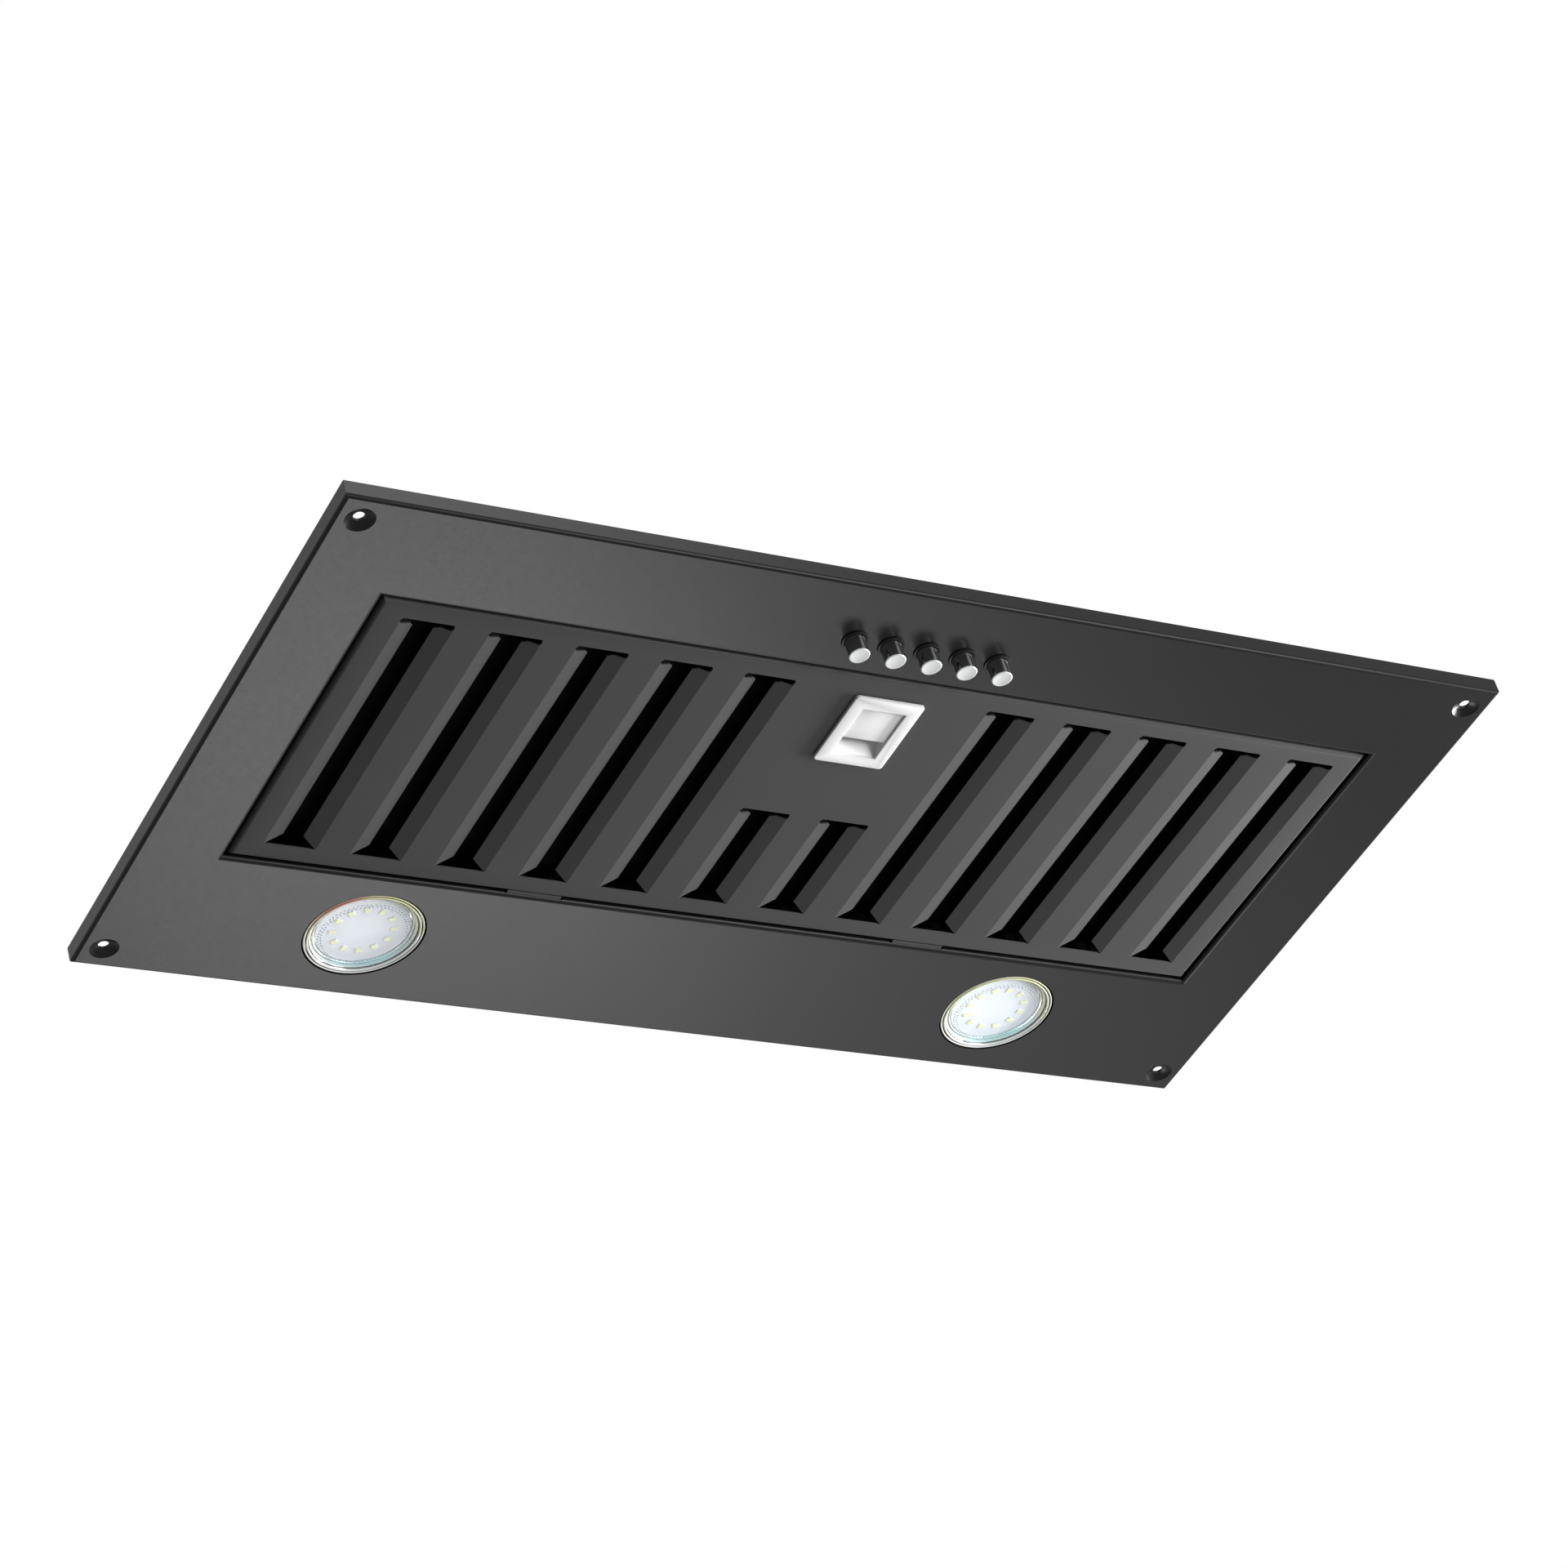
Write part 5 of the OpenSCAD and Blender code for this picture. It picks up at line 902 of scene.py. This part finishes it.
# %% Wound spring
WIRE_RADIUS, SPRING_TURNS = 0.25 * MM, 7.0
spring_tree, given = begin_tree("wound_spring", Turns=("Float", SPRING_TURNS),
                                Coil_Radius=("Float", 0.0016), Length=("Float", 0.01),
                                Wire_Radius=("Float", 0.00025), Finish=("Material", None))
helix = put(spring_tree, "GeometryNodeCurveSpiral", {"Resolution": 28, "Rotations": given["Turns"],
            "Start Radius": given["Coil Radius"], "End Radius": given["Coil Radius"],
            "Height": given["Length"]})
section = put(spring_tree, "GeometryNodeCurvePrimitiveCircle", {"Resolution": 10,
              "Radius": given["Wire Radius"]})
wire = put(spring_tree, "GeometryNodeCurveToMesh", {"Curve": helix.outputs[0],
           "Profile Curve": section.outputs[0], "Fill Caps": True})
end_tree(spring_tree, wire.outputs[0], given["Finish"])
low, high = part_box("latch_spring")
mesh = grow(spring_tree, Turns=SPRING_TURNS, Coil_Radius=(high.x - low.x) / 2 - WIRE_RADIUS,
            Length=high.y - low.y - 2 * WIRE_RADIUS, Wire_Radius=WIRE_RADIUS,
            Finish=finishes["spring_steel"])
along_y = Matrix.Rotation(radians(-90), 4, "X")
front_end = Vector(((low.x + high.x) / 2, low.y + WIRE_RADIUS, (low.z + high.z) / 2))
mesh.transform(Matrix.Translation(front_end) @ along_y)
keep("latch_coil_spring", mesh, "spring_steel", "filter", ["latch_spring"])
print("spring", len(mesh.polygons), "faces")

# %% [markdown]
# ## Screws and nuts
# The body is held together by pan-head sheet screws with a cross recess, and by flange nuts on weld studs.
# Driven screws end at any angle, so the recesses point every way: the tree turns each copy by a random
# angle from a fixed seed. The places aren't typed again: every solid of a CAD node gives the seat of one
# screw.

# %% Shapes of screw and nut
def pan_screw(name, head_radius, head_height, shank_radius, length):
    """A pan-head screw round Z with its seat at zero: domed head, cross recess, thread ridges and point."""
    rim_share, edge, thread_pitch, thread_root = 0.35, 0.15, 1.0, 0.74
    dome = [(head_radius * sin(radians(a)), head_height * (rim_share + (1 - rim_share) * cos(radians(a))))
            for a in range(0, 91, 15)]
    outline = dome + [(head_radius, edge), (head_radius - edge, 0), (shank_radius, 0)]
    drop = 0.4
    while drop + thread_pitch < length - 1.2:
        outline += [(shank_radius, -drop), (shank_radius * thread_root, -drop - thread_pitch / 2),
                    (shank_radius, -drop - thread_pitch)]
        drop += thread_pitch
    outline += [(shank_radius * 0.7, -length + 1.0), (0, -length)]
    mesh = turned(name, outline, 40)
    blade_length, blade_width, blade_taper, blade_lift = head_radius * 1.1, 0.75, 0.35, head_height * 1.35
    cut = bmesh.new()
    for a in (0, 90):
        blade = bmesh.ops.create_cube(cut, size=1.0)["verts"]
        bmesh.ops.scale(cut, vec=Vector((blade_length, blade_width, 2 * head_height)) * MM, verts=blade)
        for vert in blade:
            if vert.co.z < 0:
                vert.co.x *= blade_taper
        bmesh.ops.translate(cut, vec=Vector((0, 0, blade_lift)) * MM, verts=blade)
        bmesh.ops.rotate(cut, matrix=Matrix.Rotation(radians(a), 3, "Z"), verts=blade, cent=(0, 0, 0))
    cutter_mesh = bpy.data.meshes.new("cross")
    cut.to_mesh(cutter_mesh)
    cut.free()
    return shape_object(name, cut_away(mesh, cutter_mesh))


def flange_nut(name, across_flats, flange_radius, height, bore):
    """A six-sided nut on a round flange, with chamfered corners and a bore, round Z from zero upwards."""
    shape = bmesh.new()
    flat, flange_edge, flange_top, chamfer, corner_share = across_flats / 2, 0.5, 1.0, 0.35, 1.13
    levels = [(flange_radius, 0, False), (flange_radius, flange_edge, False), (flat + 0.5, flange_top, False),
              (flat, flange_top, True), (flat, height - 0.5, True), (flat - chamfer, height, False),
              (bore, height, False), (bore, 0, False)]
    steps = 72
    rows = []
    for radius, lift, six_sided in levels:
        row = []
        for k in range(steps):
            a = 2 * pi * k / steps
            reach = radius
            if six_sided:
                reach = min(radius / cos((a + pi / 6) % (pi / 3) - pi / 6), radius * corner_share)
            row.append(shape.verts.new((reach * MM * cos(a), reach * MM * sin(a), lift * MM)))
        rows.append(row)
    for i in range(len(rows)):
        here, above = rows[i], rows[(i + 1) % len(rows)]
        for k in range(steps):
            m = (k + 1) % steps
            shape.faces.new((here[k], here[m], above[m], above[k]))
    bmesh.ops.recalc_face_normals(shape, faces=shape.faces)
    mesh = bpy.data.meshes.new(name)
    shape.to_mesh(mesh)
    shape.free()
    return shape_object(name, mesh)


print("shapes for fasteners are ready")

# %% The tree of fasteners at points
fastener_tree, given = begin_tree("fasteners_at_points", Shape=("Object", None),
                                  Axis_Turn=("Vector", (0, 0, 0)), Seed=("Int", 7),
                                  Finish=("Material", None))
shape = put(fastener_tree, "GeometryNodeObjectInfo", {"Object": given["Shape"]})
placed = put(fastener_tree, "GeometryNodeInstanceOnPoints", {"Points": given["Geometry"],
             "Instance": shape.outputs["Geometry"], "Rotation": given["Axis Turn"]})
spin = put(fastener_tree, "FunctionNodeRandomValue", {2: 0.0, 3: 2 * pi, "Seed": given["Seed"]},
           data_type="FLOAT")
about_own_axis = put(fastener_tree, "ShaderNodeCombineXYZ", {"Z": spin.outputs[1]})
spun = put(fastener_tree, "GeometryNodeRotateInstances", {"Instances": placed.outputs[0],
           "Rotation": about_own_axis.outputs[0], "Local Space": True})
end_tree(fastener_tree, spun.outputs[0], given["Finish"])
print("fastener tree has", len(fastener_tree.nodes), "nodes")

# %% Screws on the body, the collar, the casing and the motor
HEAD_HEIGHT, HEAD_RADIUS, SHANK_RADIUS = 2.2, 3.4, 1.45
TURN_TO = {"+Z": (0.0, 0.0, 0.0), "+X": (0.0, pi / 2, 0.0), "-X": (0.0, -pi / 2, 0.0)}
for node, facing, seed in (("top_cover_screws", "+Z", 3), ("collar_screws", "+Z", 5),
                           ("casing_screws", "+X", 11), ("motor_screws", "-X", 17)):
    seats = []
    for low, high in solids_of(node):
        seat = (low + high) / 2
        if facing == "+Z":
            seat.z, length = high.z - HEAD_HEIGHT * MM, (high.z - low.z) / MM - HEAD_HEIGHT
        elif facing == "+X":
            seat.x, length = high.x - HEAD_HEIGHT * MM, (high.x - low.x) / MM - HEAD_HEIGHT
        else:
            seat.x, length = low.x + HEAD_HEIGHT * MM, (high.x - low.x) / MM - HEAD_HEIGHT
        seats.append(seat)
    screw = pan_screw(node + "_shape", HEAD_RADIUS, HEAD_HEIGHT, SHANK_RADIUS, length)
    mesh = grow(fastener_tree, seats, Shape=screw, Axis_Turn=TURN_TO[facing], Seed=seed,
                Finish=finishes["zinc_steel"])
    keep(node + "_pan_head", mesh, "zinc_steel", body_of_node[node], [node])
    print(node, len(seats), "screws,", len(mesh.polygons), "faces")

# %% Flange nuts on the weld studs
FLATS_OF_FLANGE, NUT_BORE_RADIUS, NUT_SEED = 0.74, 1.9, 23
boxes = solids_of("flange_nuts")
low, high = boxes[0]
flange_width = (high.y - low.y) / MM
nut = flange_nut("flange_nut_shape", flange_width * FLATS_OF_FLANGE, flange_width / 2,
                 (high.z - low.z) / MM, NUT_BORE_RADIUS)
seats = [Vector(((a.x + b.x) / 2, (a.y + b.y) / 2, a.z)) for a, b in boxes]
mesh = grow(fastener_tree, seats, Shape=nut, Axis_Turn=TURN_TO["+Z"], Seed=NUT_SEED,
            Finish=finishes["zinc_steel"])
keep("flange_nuts_turned", mesh, "zinc_steel", "hood", ["flange_nuts"])
print("nuts", len(seats), "size", [round(v / MM, 2) for v in high - low])

# %% [markdown]
# ## The dressed size
# The dressed model must keep the CAD model's size, so its box is printed.

# %% Sizes and finish
low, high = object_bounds()
print("dressed box", [round(v * 1000, 2) for v in high - low])
